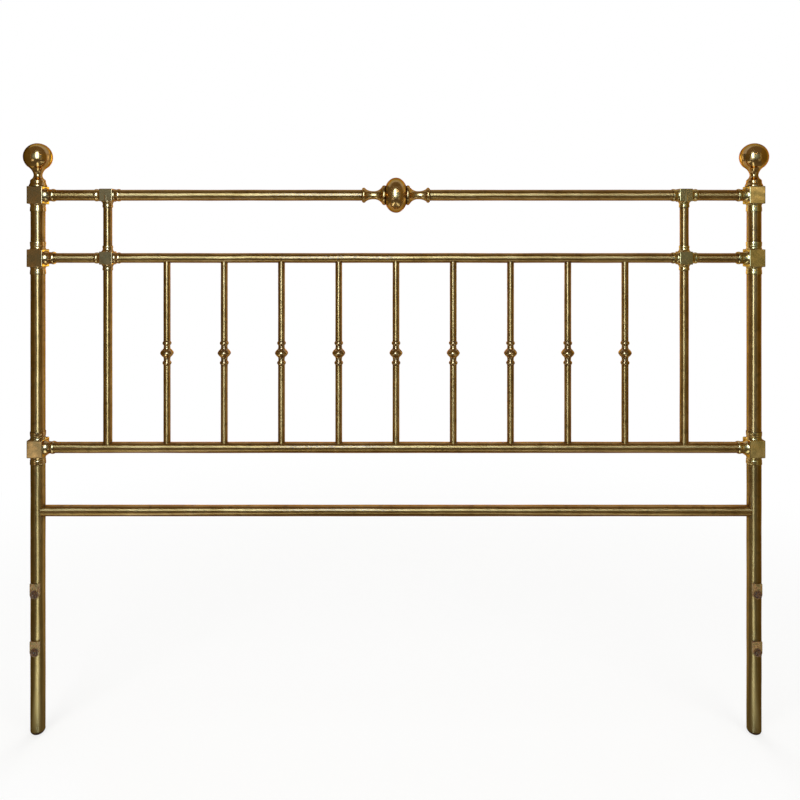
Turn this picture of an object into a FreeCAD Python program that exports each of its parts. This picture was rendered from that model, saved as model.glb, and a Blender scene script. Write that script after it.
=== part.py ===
import FreeCAD, Part
import math
import os
from types import SimpleNamespace

import Sketcher

# Brass headboard of a large double bed, in millimetres.
# +Z is up, +X is to the right and the side that faces the bed looks along -Y.
# The origin is on the floor, midway between the two posts.

# Driving sizes
SIZES = {
    # layout of the frame
    "post_spacing": 1826,
    "stile_inset": 178,
    "lower_rail_height": 727,
    "second_rail_rise": 483,
    "top_rail_rise": 160,
    "base_rail_drop": 161,
    "knop_rise": 241,
    "spindle_count": 9,
    "spindle_end_gap": 151,
    # tubes: outside diameters and walls
    "post_diameter": 35,
    "post_wall": 1.5,
    "top_rail_diameter": 28,
    "second_rail_diameter": 25,
    "lower_rail_diameter": 28,
    "base_rail_diameter": 28,
    "rail_wall": 1.2,
    "stile_diameter": 22,
    "stile_wall": 1.0,
    "spindle_diameter": 17.5,
    "spindle_wall": 1.0,
    # fits: radial play of a tube in its socket, of the rod in a casting, of a bolt in its
    # hole, of a screwed ball on its rod, and the gap under that ball
    "tube_play": 0.1,
    "rod_play": 0.5,
    "bolt_play": 0.25,
    "thread_play": 0.05,
    "ball_gap": 0.2,
    "saddle_play": 0.1,
    # how far plain tube ends reach into what holds them
    "base_rail_insertion": 8,
    "stile_insertion": 7,
    "spindle_insertion": 6,
    # corner castings on the posts
    "corner_wall": 2.4,
    "corner_lip": 3.4,
    "corner_round": 2,
    "corner_web": 12,
    "post_arm_root_inset": 0.4,
    "post_arm_wall": 1,
    "post_arm_flare": 9,
    "post_arm_groove": 3,
    "post_arm_ring": 7,
    "post_ring_rise": 0.3,
    "rail_arm_root_inset": 1,
    "rail_arm_wall": 1,
    "second_rail_arm_wall": 2.5,
    "rail_arm_flare": 10.5,
    "rail_arm_groove": 4.5,
    "rail_arm_ring": 8.5,
    "rail_ring_rise": 1.1,
    # tee and cross castings on the stiles
    "joint_side_margin": 5.5,
    "tee_margin": 2,
    "cross_margin": 4,
    "joint_round": 1.5,
    "joint_root_inset": 0.3,
    "joint_arm_wall": 1.1,
    "joint_arm_flare": 7.5,
    "joint_arm_groove": 1,
    "joint_arm_ring": 7,
    "joint_ring_rise": 0.6,
    "joint_shoulder": 3.5,
    "post_flare_hollow": 1.2,
    "rail_flare_hollow": 0.7,
    "joint_flare_hollow": 1,
    # turned ball finials
    "ball_diameter": 70,
    "ball_neck_radius": 24.3,
    "finial_foot_radius": 21.5,
    "finial_foot_edge": 2.4,
    "finial_step_radius": 18.4,
    "finial_step_height": 10.5,
    "finial_bead_height": 7.5,
    "finial_shoulder_radius": 15.6,
    "finial_waist_radius": 10.4,
    "finial_waist_height": 30,
    "finial_throat_length": 19.6,
    "finial_foot_hollow": 0.5,
    "finial_bead_rise": 1.2,
    "finial_neck_hollow": 1.7,
    "finial_throat_hollow": 2.6,
    "finial_bore_depth": 34,
    "finial_passage_radius": 3,
    "ball_wall": 2.5,
    # tie rods and their anchors
    "rod_diameter": 10,
    "anchor_drop": 45,
    "anchor_height": 20,
    "rod_end_gap": 5,
    # turned ornament in the middle of the top rail
    "ornament_crown_radius": 41.6,
    "ornament_crown_offset": 12,
    "ornament_crown_rise": 3.2,
    "ornament_cheek_length": 14.4,
    "ornament_cheek_rise": 1.9,
    "ornament_ball_edge_radius": 24,
    "ornament_bead_length": 9.8,
    "ornament_bead_rise": 2.6,
    "ornament_shoulder_radius": 20.8,
    "ornament_throat_length": 21.5,
    "ornament_throat_hollow": 3.2,
    "ornament_waist_radius": 10.4,
    "ornament_cup_length": 19.3,
    "ornament_cup_hollow": 1.6,
    "ornament_cup_radius": 16,
    "ornament_ring_length": 10,
    "ornament_ring_rise": 3.9,
    "ornament_end_radius": 15,
    "ornament_bore_radius": 5,
    "ornament_hollow_radius": 20,
    "ornament_hollow_offset": 20,
    "ornament_hollow_rise": 18,
    "spigot_length": 20,
    # turned knops in the spindles
    "knop_crown_radius": 15,
    "knop_crown_offset": 4,
    "knop_crown_rise": 1.6,
    "knop_cheek_length": 5.2,
    "knop_cheek_rise": 0.4,
    "knop_edge_radius": 10.5,
    "knop_throat_length": 6.6,
    "knop_throat_hollow": 0.9,
    "knop_waist_radius": 8.4,
    "knop_neck_length": 4.7,
    "knop_neck_hollow": 0.5,
    "knop_bead_length": 9.3,
    "knop_bead_rise": 2.4,
    "knop_end_length": 1.7,
    "knop_spigot_length": 12,
    # glides in the feet
    "glide_height": 9,
    "glide_flat_radius": 9,
    "glide_bulge": 1.8,
    "glide_plug_length": 18,
    # saddles, bolts, washers and nuts for the bed frame
    "lower_bolt_height": 215,
    "bolt_spacing": 146,
    "saddle_width": 24,
    "saddle_rise": 26,
    "saddle_thickness": 2,
    "bolt_diameter": 8,
    "bolt_head_radius": 9,
    "bolt_head_height": 5,
    "bolt_head_edge": 1.2,
    "bolt_head_flat_radius": 4.5,
    "bolt_head_bow": 0.6,
    "bolt_end_relief": 0.3,
    "bolt_end_length": 7,
    "bolt_end_chamfer": 1,
    "washer_diameter": 20,
    "washer_thickness": 1.6,
    "nut_flats": 13,
    "nut_height": 5,
    "nut_chamfer": 0.8,
    # run of a cutting tool past the face that it leaves
    "overrun": 5,
}


class Size:
    """A length that carries both its value and the formula that drives it."""

    def __init__(self, value, formula):
        self.value = float(value)
        self.formula = formula

    def joined(self, sign, other, value):
        return Size(value, f"({self.formula} {sign} {formula_of(other)})")

    def __add__(self, other):
        return self.joined("+", other, self.value + value_of(other))

    def __sub__(self, other):
        return self.joined("-", other, self.value - value_of(other))

    def __mul__(self, other):
        return self.joined("*", other, self.value * value_of(other))

    def __truediv__(self, other):
        return self.joined("/", other, self.value / value_of(other))

    def __neg__(self):
        return Size(-self.value, f"(0 - {self.formula})")


def value_of(item):
    return item.value if isinstance(item, Size) else float(item)


def formula_of(item):
    return item.formula if isinstance(item, Size) else str(item)


def root_of(item):
    return Size(math.sqrt(item.value), f"sqrt({item.formula})")


def leg_of(longest, other):
    """The third side of a right-angled triangle."""
    return root_of(longest * longest - other * other)


# The document and its sheet of driving sizes
doc = FreeCAD.newDocument("brass_headboard")
sheet = doc.addObject("Spreadsheet::Sheet", "Sizes")
for row, (alias, number) in enumerate(SIZES.items(), start=1):
    sheet.set(f"A{row}", alias)
    sheet.set(f"B{row}", str(number))
    sheet.setAlias(f"B{row}", alias)
doc.recompute()

size = SimpleNamespace(**{alias: Size(getattr(sheet, alias), f"Sizes.{alias}") for alias in SIZES})
zero = Size(0, "0")
pieces = {}

along_z = FreeCAD.Rotation()
along_x = FreeCAD.Rotation(FreeCAD.Vector(0, 1, 0), 90)
along_front = FreeCAD.Rotation(FreeCAD.Vector(1, 0, 0), 90)
half_turn = FreeCAD.Rotation(FreeCAD.Vector(0, 0, 1), 180)


# Placing and binding
def bind(item, **driven):
    for name, length in driven.items():
        item.setExpression(name, formula_of(length))


def place(item, rotation, x=zero, y=zero, z=zero):
    spot = FreeCAD.Vector(value_of(x), value_of(y), value_of(z))
    item.Placement = FreeCAD.Placement(spot, rotation)
    for letter, length in (("x", x), ("y", y), ("z", z)):
        item.setExpression(f"Placement.Base.{letter}", formula_of(length))
    return item


def keep(item, label):
    item.Label = label
    pieces[label] = item
    return item


# Plain solids, cuts and groups
def rod(name, radius, length, rotation=along_z, x=zero, y=zero, z=zero):
    solid = doc.addObject("Part::Cylinder", name)
    bind(solid, Radius=radius, Height=length)
    return place(solid, rotation, x, y, z)


def block(name, width, depth, height, x=zero, y=zero, z=zero):
    solid = doc.addObject("Part::Box", name)
    bind(solid, Length=width, Width=depth, Height=height)
    return place(solid, along_z, x, y, z)


def cut(name, base, tools):
    result = doc.addObject("Part::Cut", name)
    result.Base = base
    result.Tool = tools[0] if len(tools) == 1 else fuse(name + "_tools", tools)
    return result


def fuse(name, solids):
    result = doc.addObject("Part::MultiFuse", name)
    result.Shapes = solids
    return result


def group(label, solids):
    result = doc.addObject("Part::Compound", label)
    result.Links = solids
    return keep(result, label)


# A tube stands on its own origin along Z, and its holes are drilled before it is placed
def tube(name, diameter, wall, length, holes=()):
    outside = rod(name + "_outside", diameter / 2, length)
    overrun = size.overrun
    inside = rod(name + "_inside", diameter / 2 - wall, length + overrun * 2, z=-overrun)
    return cut(name, outside, [inside, *holes])


# Sketches and turned shapes
class Corner:
    """A corner of an outline, with the sagitta or the radius of the arc that leaves it.

    A positive sagitta or radius bows to the left of the way along the outline.
    """

    def __init__(self, across, along, sagitta=None, radius=None):
        self.across = across
        self.along = along
        self.sagitta = sagitta
        self.radius = radius

    def point(self):
        return FreeCAD.Vector(value_of(self.across), value_of(self.along), 0)


def arc_radius(start, end):
    """The radius of the arc that leaves a corner, and the side that it bows to."""
    if start.radius is not None:
        side = 1 if start.radius.value > 0 else -1
        return (start.radius if side > 0 else -start.radius), side
    side = 1 if start.sagitta.value > 0 else -1
    rise = start.sagitta if side > 0 else -start.sagitta
    dx = end.across - start.across
    dy = end.along - start.along
    return (dx * dx + dy * dy) / (rise * 8) + rise / 2, side


def arc_between(start, end):
    radius, side = arc_radius(start, end)
    first, last = start.point(), end.point()
    chord = last - first
    left = FreeCAD.Vector(-chord.y, chord.x, 0).normalize() * side
    depth = math.sqrt(max(radius.value**2 - (chord.Length / 2) ** 2, 0))
    centre = (first + last) / 2 - left * depth
    ends = (last, first) if side > 0 else (first, last)
    angles = [math.atan2(p.y - centre.y, p.x - centre.x) for p in ends]
    circle = Part.Circle(centre, FreeCAD.Vector(0, 0, 1), radius.value)
    return Part.ArcOfCircle(circle, *angles), radius, side


def origin_plane(body, role):
    return next(item for item in body.Origin.OriginFeatures if item.Role == role)


def hold_coordinate(sketch, kind, axis, geometry, position, length, name):
    """Fix one coordinate of a point, on the axis itself where it is zero."""
    if value_of(length) == 0:
        sketch.addConstraint(Sketcher.Constraint("PointOnObject", geometry, position, axis))
        return
    rule = Sketcher.Constraint(kind, -1, 1, geometry, position, value_of(length))
    index = sketch.addConstraint(rule)
    sketch.renameConstraint(index, name)
    sketch.setExpression(f"Constraints.{name}", formula_of(length))


def draw(body, name, *outlines, plane="XZ_Plane"):
    """A sketch of closed outlines on one of the body's own planes."""
    sketch = body.newObject("Sketcher::SketchObject", name)
    sketch.AttachmentSupport = (origin_plane(body, plane), [""])
    sketch.MapMode = "FlatFace"
    for number, outline in enumerate(outlines):
        steps = []
        for index, corner in enumerate(outline):
            following = outline[(index + 1) % len(outline)]
            mark = f"{number}_{index}"
            if corner.sagitta is None and corner.radius is None:
                line = Part.LineSegment(corner.point(), following.point())
                steps.append((sketch.addGeometry(line), 1, 2))
                continue
            arc, radius, side = arc_between(corner, following)
            geometry = sketch.addGeometry(arc)
            steps.append((geometry, 2, 1) if side > 0 else (geometry, 1, 2))
            rule = sketch.addConstraint(Sketcher.Constraint("Radius", geometry, radius.value))
            sketch.renameConstraint(rule, f"radius_{mark}")
            sketch.setExpression(f"Constraints.radius_{mark}", radius.formula)
        for index, (geometry, start, end) in enumerate(steps):
            other, other_start, _ = steps[(index + 1) % len(steps)]
            sketch.addConstraint(Sketcher.Constraint("Coincident", geometry, end, other, other_start))
        for index, (geometry, start, end) in enumerate(steps):
            corner = outline[index]
            mark = f"{number}_{index}"
            hold_coordinate(sketch, "DistanceX", -2, geometry, start, corner.across, f"across_{mark}")
            hold_coordinate(sketch, "DistanceY", -1, geometry, start, corner.along, f"along_{mark}")
    sketch.Visibility = False
    return sketch


def spin(body, name, sketch, axis="V_Axis", kind="Revolution"):
    feature = body.newObject(f"PartDesign::{kind}", name)
    feature.Profile = sketch
    feature.ReferenceAxis = (sketch, [axis])
    feature.Angle = 360
    body.Tip = feature
    return feature


def new_body(name):
    return doc.addObject("PartDesign::Body", name)


def turned(name, outline):
    """A body turned about its own Z axis."""
    body = new_body(name)
    spin(body, name + "_turning", draw(body, name + "_profile", outline))
    return body


def swapped(outline):
    """The same outline with its axis laid along X, and so run the other way."""
    return [Corner(c.along, c.across, mirrored(c.sagitta), mirrored(c.radius)) for c in outline]


def mirrored(bow):
    return None if bow is None else -bow


def below(outline):
    """The mirror image of a rising outline, under the plane it starts from and run upwards."""
    bows = [(c.sagitta, c.radius) for c in outline]
    result = []
    for index in range(len(outline) - 1, -1, -1):
        corner = outline[index]
        sagitta, radius = bows[index - 1] if index else (None, None)
        result.append(Corner(corner.across, -corner.along, sagitta, radius))
    return result


def symmetric(outline):
    """A rising outline completed with its mirror image."""
    return below(outline) + outline


# Arms of the castings: a concave flare at the block, a groove, and a bead at the end
class Arm:
    def __init__(self, face, reach, root, collar, flare, hollow, ring, rise, socket, core):
        self.face = face
        self.reach = reach
        self.root = root
        self.collar = collar
        self.flare = flare
        self.hollow = hollow
        self.ring = ring
        self.rise = rise
        self.socket = socket
        self.core = core

    def outline(self):
        return [
            Corner(self.root, self.face, sagitta=self.hollow),
            Corner(self.collar, self.face + self.flare),
            Corner(self.collar, self.reach - self.ring, sagitta=-self.rise),
            Corner(self.collar, self.reach),
            Corner(zero, self.reach),
        ]

    def bore(self, seat):
        """The socket down to its seat, with the hole that goes on from it."""
        end = self.reach + size.overrun
        return [
            Corner(self.core, seat),
            Corner(self.socket, seat),
            Corner(self.socket, end),
            Corner(zero, end),
        ]


def closed_at(outline, start):
    """A rising outline closed along the axis from its start."""
    return [Corner(zero, start), Corner(outline[0].across, start), *outline]


def casting(name, width, depth, height, rounding, solids, hollows):
    """A cast block with turned arms; each arm and bore is an outline and its axis."""
    body = new_body(name)
    half_width, half_height = width / 2, height / 2
    face = [
        Corner(-half_width, -half_height),
        Corner(half_width, -half_height),
        Corner(half_width, half_height),
        Corner(-half_width, half_height),
    ]
    pad = body.newObject("PartDesign::Pad", name + "_block")
    pad.Profile = draw(body, name + "_face", face)
    pad.SideType = "Symmetric"
    bind(pad, Length=depth)
    body.Tip = pad
    doc.recompute()
    edges = body.newObject("PartDesign::Fillet", name + "_edges")
    edges.Base = (pad, [f"Edge{number}" for number in range(1, len(pad.Shape.Edges) + 1)])
    bind(edges, Radius=rounding)
    body.Tip = edges
    for kind, turns in (("Revolution", solids), ("Groove", hollows)):
        for axis, outline in turns:
            part_name = f"{name}_{kind}_{axis}"
            path = outline if axis == "V_Axis" else swapped(outline)
            spin(body, part_name, draw(body, part_name + "_profile", path), axis, kind)
    return body


# Posts
half_spacing = size.post_spacing / 2
second_rail_height = size.lower_rail_height + size.second_rail_rise
top_rail_height = second_rail_height + size.top_rail_rise
base_rail_height = size.lower_rail_height - size.base_rail_drop
post_radius = size.post_diameter / 2
post_socket = post_radius + size.tube_play
post_inside = post_radius - size.post_wall
rail_face = post_socket + size.corner_wall
rail_arm_root = rail_face - size.rail_arm_root_inset
corner_half = rail_arm_root + size.corner_lip
web_half = size.corner_web / 2
rod_radius = size.rod_diameter / 2
rod_hole = rod_radius + size.rod_play
post_reach = corner_half + size.post_arm_flare + size.post_arm_groove + size.post_arm_ring
rail_reach = rail_face + size.rail_arm_flare + size.rail_arm_groove + size.rail_arm_ring

post_arm = Arm(
    face=corner_half,
    reach=post_reach,
    root=rail_face - size.post_arm_root_inset,
    collar=post_socket + size.post_arm_wall,
    flare=size.post_arm_flare,
    hollow=size.post_flare_hollow,
    ring=size.post_arm_ring,
    rise=size.post_ring_rise,
    socket=post_socket,
    core=rod_hole,
)


def corner_block(name, rail_diameter, rail_arm_wall, is_top):
    rail_socket = rail_diameter / 2 + size.tube_play
    rail_arm = Arm(
        face=rail_face,
        reach=rail_reach,
        root=rail_arm_root,
        collar=rail_socket + rail_arm_wall,
        flare=size.rail_arm_flare,
        hollow=size.rail_flare_hollow,
        ring=size.rail_arm_ring,
        rise=size.rail_ring_rise,
        socket=rail_socket,
        core=zero,
    )
    arms = post_arm.outline()
    bores = post_arm.bore(web_half)
    if is_top:
        top = corner_half + size.overrun
        arms = [*below(arms), Corner(arms[0].across, zero), Corner(zero, zero)]
        bores = [*below(bores), Corner(rod_hole, top), Corner(zero, top)]
    else:
        arms = symmetric(arms)
        bores = symmetric(bores)
    return casting(
        name,
        rail_face * 2,
        rail_face * 2,
        corner_half * 2,
        size.corner_round,
        [("V_Axis", arms), ("H_Axis", closed_at(rail_arm.outline(), zero))],
        [("V_Axis", bores), ("H_Axis", rail_arm.bore(rail_face))],
    )


def finial(name):
    """A spun hollow ball on a turned neck that screws down on the end of the tie rod."""
    ball_radius = size.ball_diameter / 2
    hollow = ball_radius - size.ball_wall
    neck = size.finial_waist_height + size.finial_throat_length
    centre = neck + leg_of(ball_radius, size.ball_neck_radius)
    hollow_foot = centre - leg_of(hollow, size.finial_passage_radius)
    bead_top = size.finial_step_height + size.finial_bead_height
    outline = [
        Corner(zero, zero),
        Corner(size.finial_foot_radius, zero),
        Corner(size.finial_foot_radius, size.finial_foot_edge, sagitta=size.finial_foot_hollow),
        Corner(size.finial_step_radius, size.finial_step_height, sagitta=-size.finial_bead_rise),
        Corner(size.finial_shoulder_radius, bead_top, sagitta=size.finial_neck_hollow),
        Corner(size.finial_waist_radius, size.finial_waist_height, sagitta=size.finial_throat_hollow),
        Corner(size.ball_neck_radius, neck, radius=-ball_radius),
        Corner(zero, centre + ball_radius),
    ]
    bore_radius = rod_radius + size.thread_play
    bore = [
        Corner(zero, -size.overrun),
        Corner(bore_radius, -size.overrun),
        Corner(bore_radius, size.finial_bore_depth),
        Corner(size.finial_passage_radius, size.finial_bore_depth),
        Corner(size.finial_passage_radius, hollow_foot, radius=-hollow),
        Corner(zero, centre + hollow),
    ]
    body = turned(name, outline)
    spin(body, name + "_bore", draw(body, name + "_bore_profile", bore), kind="Groove")
    return body


# Left and right: the side of the middle, and the turn that points a left-hand piece inwards
SIDES = {"left": (-1, along_z), "right": (1, half_turn)}

foot_top = size.glide_height
lower_tube_top = size.lower_rail_height - web_half
middle_tube_bottom = size.lower_rail_height + web_half
middle_tube_top = second_rail_height - web_half
upper_tube_bottom = second_rail_height + web_half
upper_tube_top = top_rail_height - web_half
anchor_top = lower_tube_top - size.anchor_drop
anchor_bottom = anchor_top - size.anchor_height
finial_seat = top_rail_height + corner_half + size.ball_gap
bolt_heights = (size.lower_bolt_height + size.bolt_spacing, size.lower_bolt_height)


def lower_post_tube(name):
    """The leg, with the hole for the base rail and two pairs of bolt holes."""
    overrun = size.overrun
    rail_hole = rod(
        name + "_rail_hole",
        size.base_rail_diameter / 2 + size.tube_play,
        post_radius + overrun,
        along_x,
        z=base_rail_height - foot_top,
    )
    bolt_holes = [
        rod(
            f"{name}_bolt_hole_{number}",
            size.bolt_diameter / 2 + size.bolt_play,
            (post_radius + overrun) * 2,
            along_front,
            y=post_radius + overrun,
            z=bolt_height - foot_top,
        )
        for number, bolt_height in enumerate(bolt_heights, start=1)
    ]
    length = lower_tube_top - foot_top
    return tube(name, size.post_diameter, size.post_wall, length, [rail_hole, *bolt_holes])


def glide(name):
    """A domed foot that plugs the end of a leg."""
    plug = post_inside - size.tube_play
    plug_top = size.glide_height + size.glide_plug_length
    return turned(name, [
        Corner(zero, zero),
        Corner(size.glide_flat_radius, zero, sagitta=-size.glide_bulge),
        Corner(post_radius, size.glide_height),
        Corner(plug, size.glide_height),
        Corner(plug, plug_top),
        Corner(zero, plug_top),
    ])


def anchor(name):
    """A plug fixed inside the leg, into which the tie rod screws."""
    hole = rod_radius + size.thread_play
    plug = post_inside - size.tube_play
    return turned(name, [
        Corner(hole, zero),
        Corner(plug, zero),
        Corner(plug, size.anchor_height),
        Corner(hole, size.anchor_height),
    ])


rod_length = finial_seat + size.finial_bore_depth - size.rod_end_gap - anchor_bottom
post_tubes = (
    ("post_middle_tube", middle_tube_bottom, middle_tube_top),
    ("post_upper_tube", upper_tube_bottom, upper_tube_top),
)
arm_wall = size.rail_arm_wall
second_arm_wall = size.second_rail_arm_wall
corners = (
    ("lower_corner_block", size.lower_rail_height, size.lower_rail_diameter, arm_wall, False),
    ("middle_corner_block", second_rail_height, size.second_rail_diameter, second_arm_wall, False),
    ("top_corner_block", top_rail_height, size.top_rail_diameter, arm_wall, True),
)


def on_post(side, item, label, z):
    sign, turn = SIDES[side]
    place(item, turn, x=half_spacing * sign, z=z)
    keep(item, f"{side}_{label}")


for side in SIDES:
    on_post(side, glide(f"{side}_glide"), "foot_glide", zero)
    on_post(side, lower_post_tube(f"{side}_leg"), "post_lower_tube", foot_top)
    for label, bottom, top in post_tubes:
        post_tube = tube(f"{side}_{label}_tube", size.post_diameter, size.post_wall, top - bottom)
        on_post(side, post_tube, label, bottom)
    for label, height, rail_diameter, wall, is_top in corners:
        corner = corner_block(f"{side}_{label}_body", rail_diameter, wall, is_top)
        on_post(side, corner, label, height)
    on_post(side, anchor(f"{side}_anchor"), "tie_rod_anchor", anchor_bottom)
    on_post(side, rod(f"{side}_tie", rod_radius, rod_length), "tie_rod", anchor_bottom)
    on_post(side, finial(f"{side}_finial"), "ball_finial", finial_seat)


# Stiles, with a tee on the top rail and a cross on the second rail
stile_x = half_spacing - size.stile_inset
stile_radius = size.stile_diameter / 2
joint_half = stile_radius + size.joint_side_margin
tee_half = size.top_rail_diameter / 2 + size.tee_margin
cross_half = size.second_rail_diameter / 2 + size.cross_margin
joint_reach = tee_half + size.joint_arm_flare + size.joint_arm_groove + size.joint_arm_ring


def joint_arm(face, tube_diameter, root):
    tube_radius = tube_diameter / 2
    return Arm(
        face=face,
        reach=joint_reach,
        root=root - size.joint_root_inset,
        collar=tube_radius + size.tube_play + size.joint_arm_wall,
        flare=size.joint_arm_flare,
        hollow=size.joint_flare_hollow,
        ring=size.joint_arm_ring,
        rise=size.joint_ring_rise,
        socket=tube_radius + size.tube_play,
        core=tube_radius - size.joint_shoulder,
    )


def tee_block(name):
    rail_arm = joint_arm(joint_half, size.top_rail_diameter, tee_half)
    stile_arm = joint_arm(tee_half, size.stile_diameter, joint_half)
    upright = stile_arm.outline()
    bore = stile_arm.bore(tee_half)
    return casting(
        name,
        joint_half * 2,
        tee_half * 2,
        tee_half * 2,
        size.joint_round,
        [
            ("H_Axis", symmetric(rail_arm.outline())),
            ("V_Axis", [*below(upright), Corner(upright[0].across, zero), Corner(zero, zero)]),
        ],
        [
            ("H_Axis", symmetric(rail_arm.bore(joint_half))),
            ("V_Axis", [*below(bore), Corner(stile_arm.core, zero), Corner(zero, zero)]),
        ],
    )


def cross_block(name):
    rail_arm = joint_arm(joint_half, size.second_rail_diameter, cross_half)
    stile_arm = joint_arm(cross_half, size.stile_diameter, joint_half)
    arms = (("H_Axis", rail_arm), ("V_Axis", stile_arm))
    return casting(
        name,
        joint_half * 2,
        cross_half * 2,
        cross_half * 2,
        size.joint_round,
        [(axis, symmetric(arm.outline())) for axis, arm in arms],
        [(axis, symmetric(arm.bore(arm.face))) for axis, arm in arms],
    )


lower_stile_bottom = size.lower_rail_height + size.lower_rail_diameter / 2 - size.stile_insertion
stile_tubes = (
    ("stile_lower_tube", lower_stile_bottom, second_rail_height - cross_half),
    ("stile_upper_tube", second_rail_height + cross_half, top_rail_height - tee_half),
)
for side, (sign, turn) in SIDES.items():
    x = stile_x * sign
    keep(place(tee_block(f"{side}_tee"), turn, x=x, z=top_rail_height), f"{side}_tee_block")
    keep(place(cross_block(f"{side}_cross"), turn, x=x, z=second_rail_height), f"{side}_cross_block")
    for label, bottom, top in stile_tubes:
        stile = tube(f"{side}_{label}_tube", size.stile_diameter, size.stile_wall, top - bottom)
        keep(place(stile, turn, x=x, z=bottom), f"{side}_{label}")


# Rails
ball_edge = size.ornament_crown_offset + size.ornament_cheek_length
ornament_shoulder = ball_edge + size.ornament_bead_length
ornament_waist = ornament_shoulder + size.ornament_throat_length
ornament_cup = ornament_waist + size.ornament_cup_length
ornament_half = ornament_cup + size.ornament_ring_length
post_face = half_spacing - rail_face
outer_joint_face = stile_x + joint_half
inner_joint_face = stile_x - joint_half
spindle_count = int(size.spindle_count.value)
last_spindle = stile_x - size.spindle_end_gap
spindle_pitch = last_spindle * 2 / (size.spindle_count - 1)
spindle_places = [spindle_pitch * number - last_spindle for number in range(spindle_count)]
towards_top = FreeCAD.Rotation(FreeCAD.Vector(0, 1, 0), -90)


def rail(label, diameter, start, end, height, holes=()):
    """A rail along X; each hole is its place along X, its radius and its direction."""
    cutters = [
        rod(f"{label}_hole_{number}", radius, diameter, direction, z=x - start)
        for number, (x, radius, direction) in enumerate(holes, start=1)
    ]
    result = tube(label + "_tube", diameter, size.rail_wall, end - start, cutters)
    keep(place(result, along_x, x=start, z=height), label)


spindle_hole = size.spindle_diameter / 2 + size.tube_play
stile_hole = stile_radius + size.tube_play
sockets_above = [(x, spindle_hole, towards_top) for x in spindle_places]
sockets_below = [(x, spindle_hole, along_x) for x in spindle_places]
stile_sockets = [(stile_x * sign, stile_hole, towards_top) for sign, _ in SIDES.values()]
base_rail_end = half_spacing - post_radius + size.base_rail_insertion

rail("top_rail_left_end", size.top_rail_diameter, -post_face, -outer_joint_face, top_rail_height)
rail("top_rail_left_span", size.top_rail_diameter, -inner_joint_face, -ornament_half, top_rail_height)
rail("top_rail_right_span", size.top_rail_diameter, ornament_half, inner_joint_face, top_rail_height)
rail("top_rail_right_end", size.top_rail_diameter, outer_joint_face, post_face, top_rail_height)
rail("second_rail_left_end", size.second_rail_diameter, -post_face, -outer_joint_face, second_rail_height)
rail(
    "second_rail_span",
    size.second_rail_diameter,
    -inner_joint_face,
    inner_joint_face,
    second_rail_height,
    sockets_below,
)
rail("second_rail_right_end", size.second_rail_diameter, outer_joint_face, post_face, second_rail_height)
rail(
    "lower_rail",
    size.lower_rail_diameter,
    -post_face,
    post_face,
    size.lower_rail_height,
    sockets_above + stile_sockets,
)
rail("base_rail", size.base_rail_diameter, -base_rail_end, base_rail_end, base_rail_height)


# Turned ornament in the middle of the top rail, with a spigot into each span
rail_inside = size.top_rail_diameter / 2 - size.rail_wall - size.tube_play
ornament_end = ornament_half + size.spigot_length
ornament_outline = [
    Corner(size.ornament_crown_radius, size.ornament_crown_offset, sagitta=-size.ornament_cheek_rise),
    Corner(size.ornament_ball_edge_radius, ball_edge, sagitta=-size.ornament_bead_rise),
    Corner(size.ornament_shoulder_radius, ornament_shoulder, sagitta=size.ornament_throat_hollow),
    Corner(size.ornament_waist_radius, ornament_waist, sagitta=size.ornament_cup_hollow),
    Corner(size.ornament_cup_radius, ornament_cup, sagitta=-size.ornament_ring_rise),
    Corner(size.ornament_end_radius, ornament_half),
    Corner(rail_inside, ornament_half),
    Corner(rail_inside, ornament_end),
    Corner(zero, ornament_end),
]


def crowned(outline, crown_rise):
    """A rising outline and its mirror image, joined by a crown over the middle."""
    lower = below(outline)
    lower[-1].sagitta = -crown_rise
    return lower + outline


ornament_hollow = [
    Corner(size.ornament_hollow_radius, size.ornament_hollow_offset),
    Corner(size.ornament_bore_radius, size.ornament_hollow_offset),
    Corner(size.ornament_bore_radius, ornament_end + size.overrun),
    Corner(zero, ornament_end + size.overrun),
]
ornament = turned("ornament", crowned(ornament_outline, size.ornament_crown_rise))
hollow_profile = draw(
    ornament,
    "ornament_hollow_profile",
    crowned(ornament_hollow, size.ornament_hollow_rise),
)
spin(ornament, "ornament_hollow", hollow_profile, kind="Groove")
keep(place(ornament, along_x, z=top_rail_height), "centre_ornament")


# Spindles: two tubes and a knop with a spigot into each
spindle_radius = size.spindle_diameter / 2
spindle_inside = spindle_radius - size.spindle_wall - size.tube_play
knop_edge = size.knop_crown_offset + size.knop_cheek_length
knop_waist = knop_edge + size.knop_throat_length
knop_bead = knop_waist + size.knop_neck_length
knop_bead_end = knop_bead + size.knop_bead_length
knop_half = knop_bead_end + size.knop_end_length
knop_end = knop_half + size.knop_spigot_length
knop_height = size.lower_rail_height + size.knop_rise
lower_spindle_bottom = size.lower_rail_height + size.lower_rail_diameter / 2 - size.spindle_insertion
upper_spindle_top = second_rail_height - size.second_rail_diameter / 2 + size.spindle_insertion
knop_outline = [
    Corner(size.knop_crown_radius, size.knop_crown_offset, sagitta=-size.knop_cheek_rise),
    Corner(size.knop_edge_radius, knop_edge, sagitta=size.knop_throat_hollow),
    Corner(size.knop_waist_radius, knop_waist, sagitta=size.knop_neck_hollow),
    Corner(spindle_radius, knop_bead, sagitta=-size.knop_bead_rise),
    Corner(spindle_radius, knop_bead_end),
    Corner(spindle_radius, knop_half),
    Corner(spindle_inside, knop_half),
    Corner(spindle_inside, knop_end),
    Corner(zero, knop_end),
]
spindle_tubes = (
    ("lower", lower_spindle_bottom, knop_height - knop_half),
    ("upper", knop_height + knop_half, upper_spindle_top),
)
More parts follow.
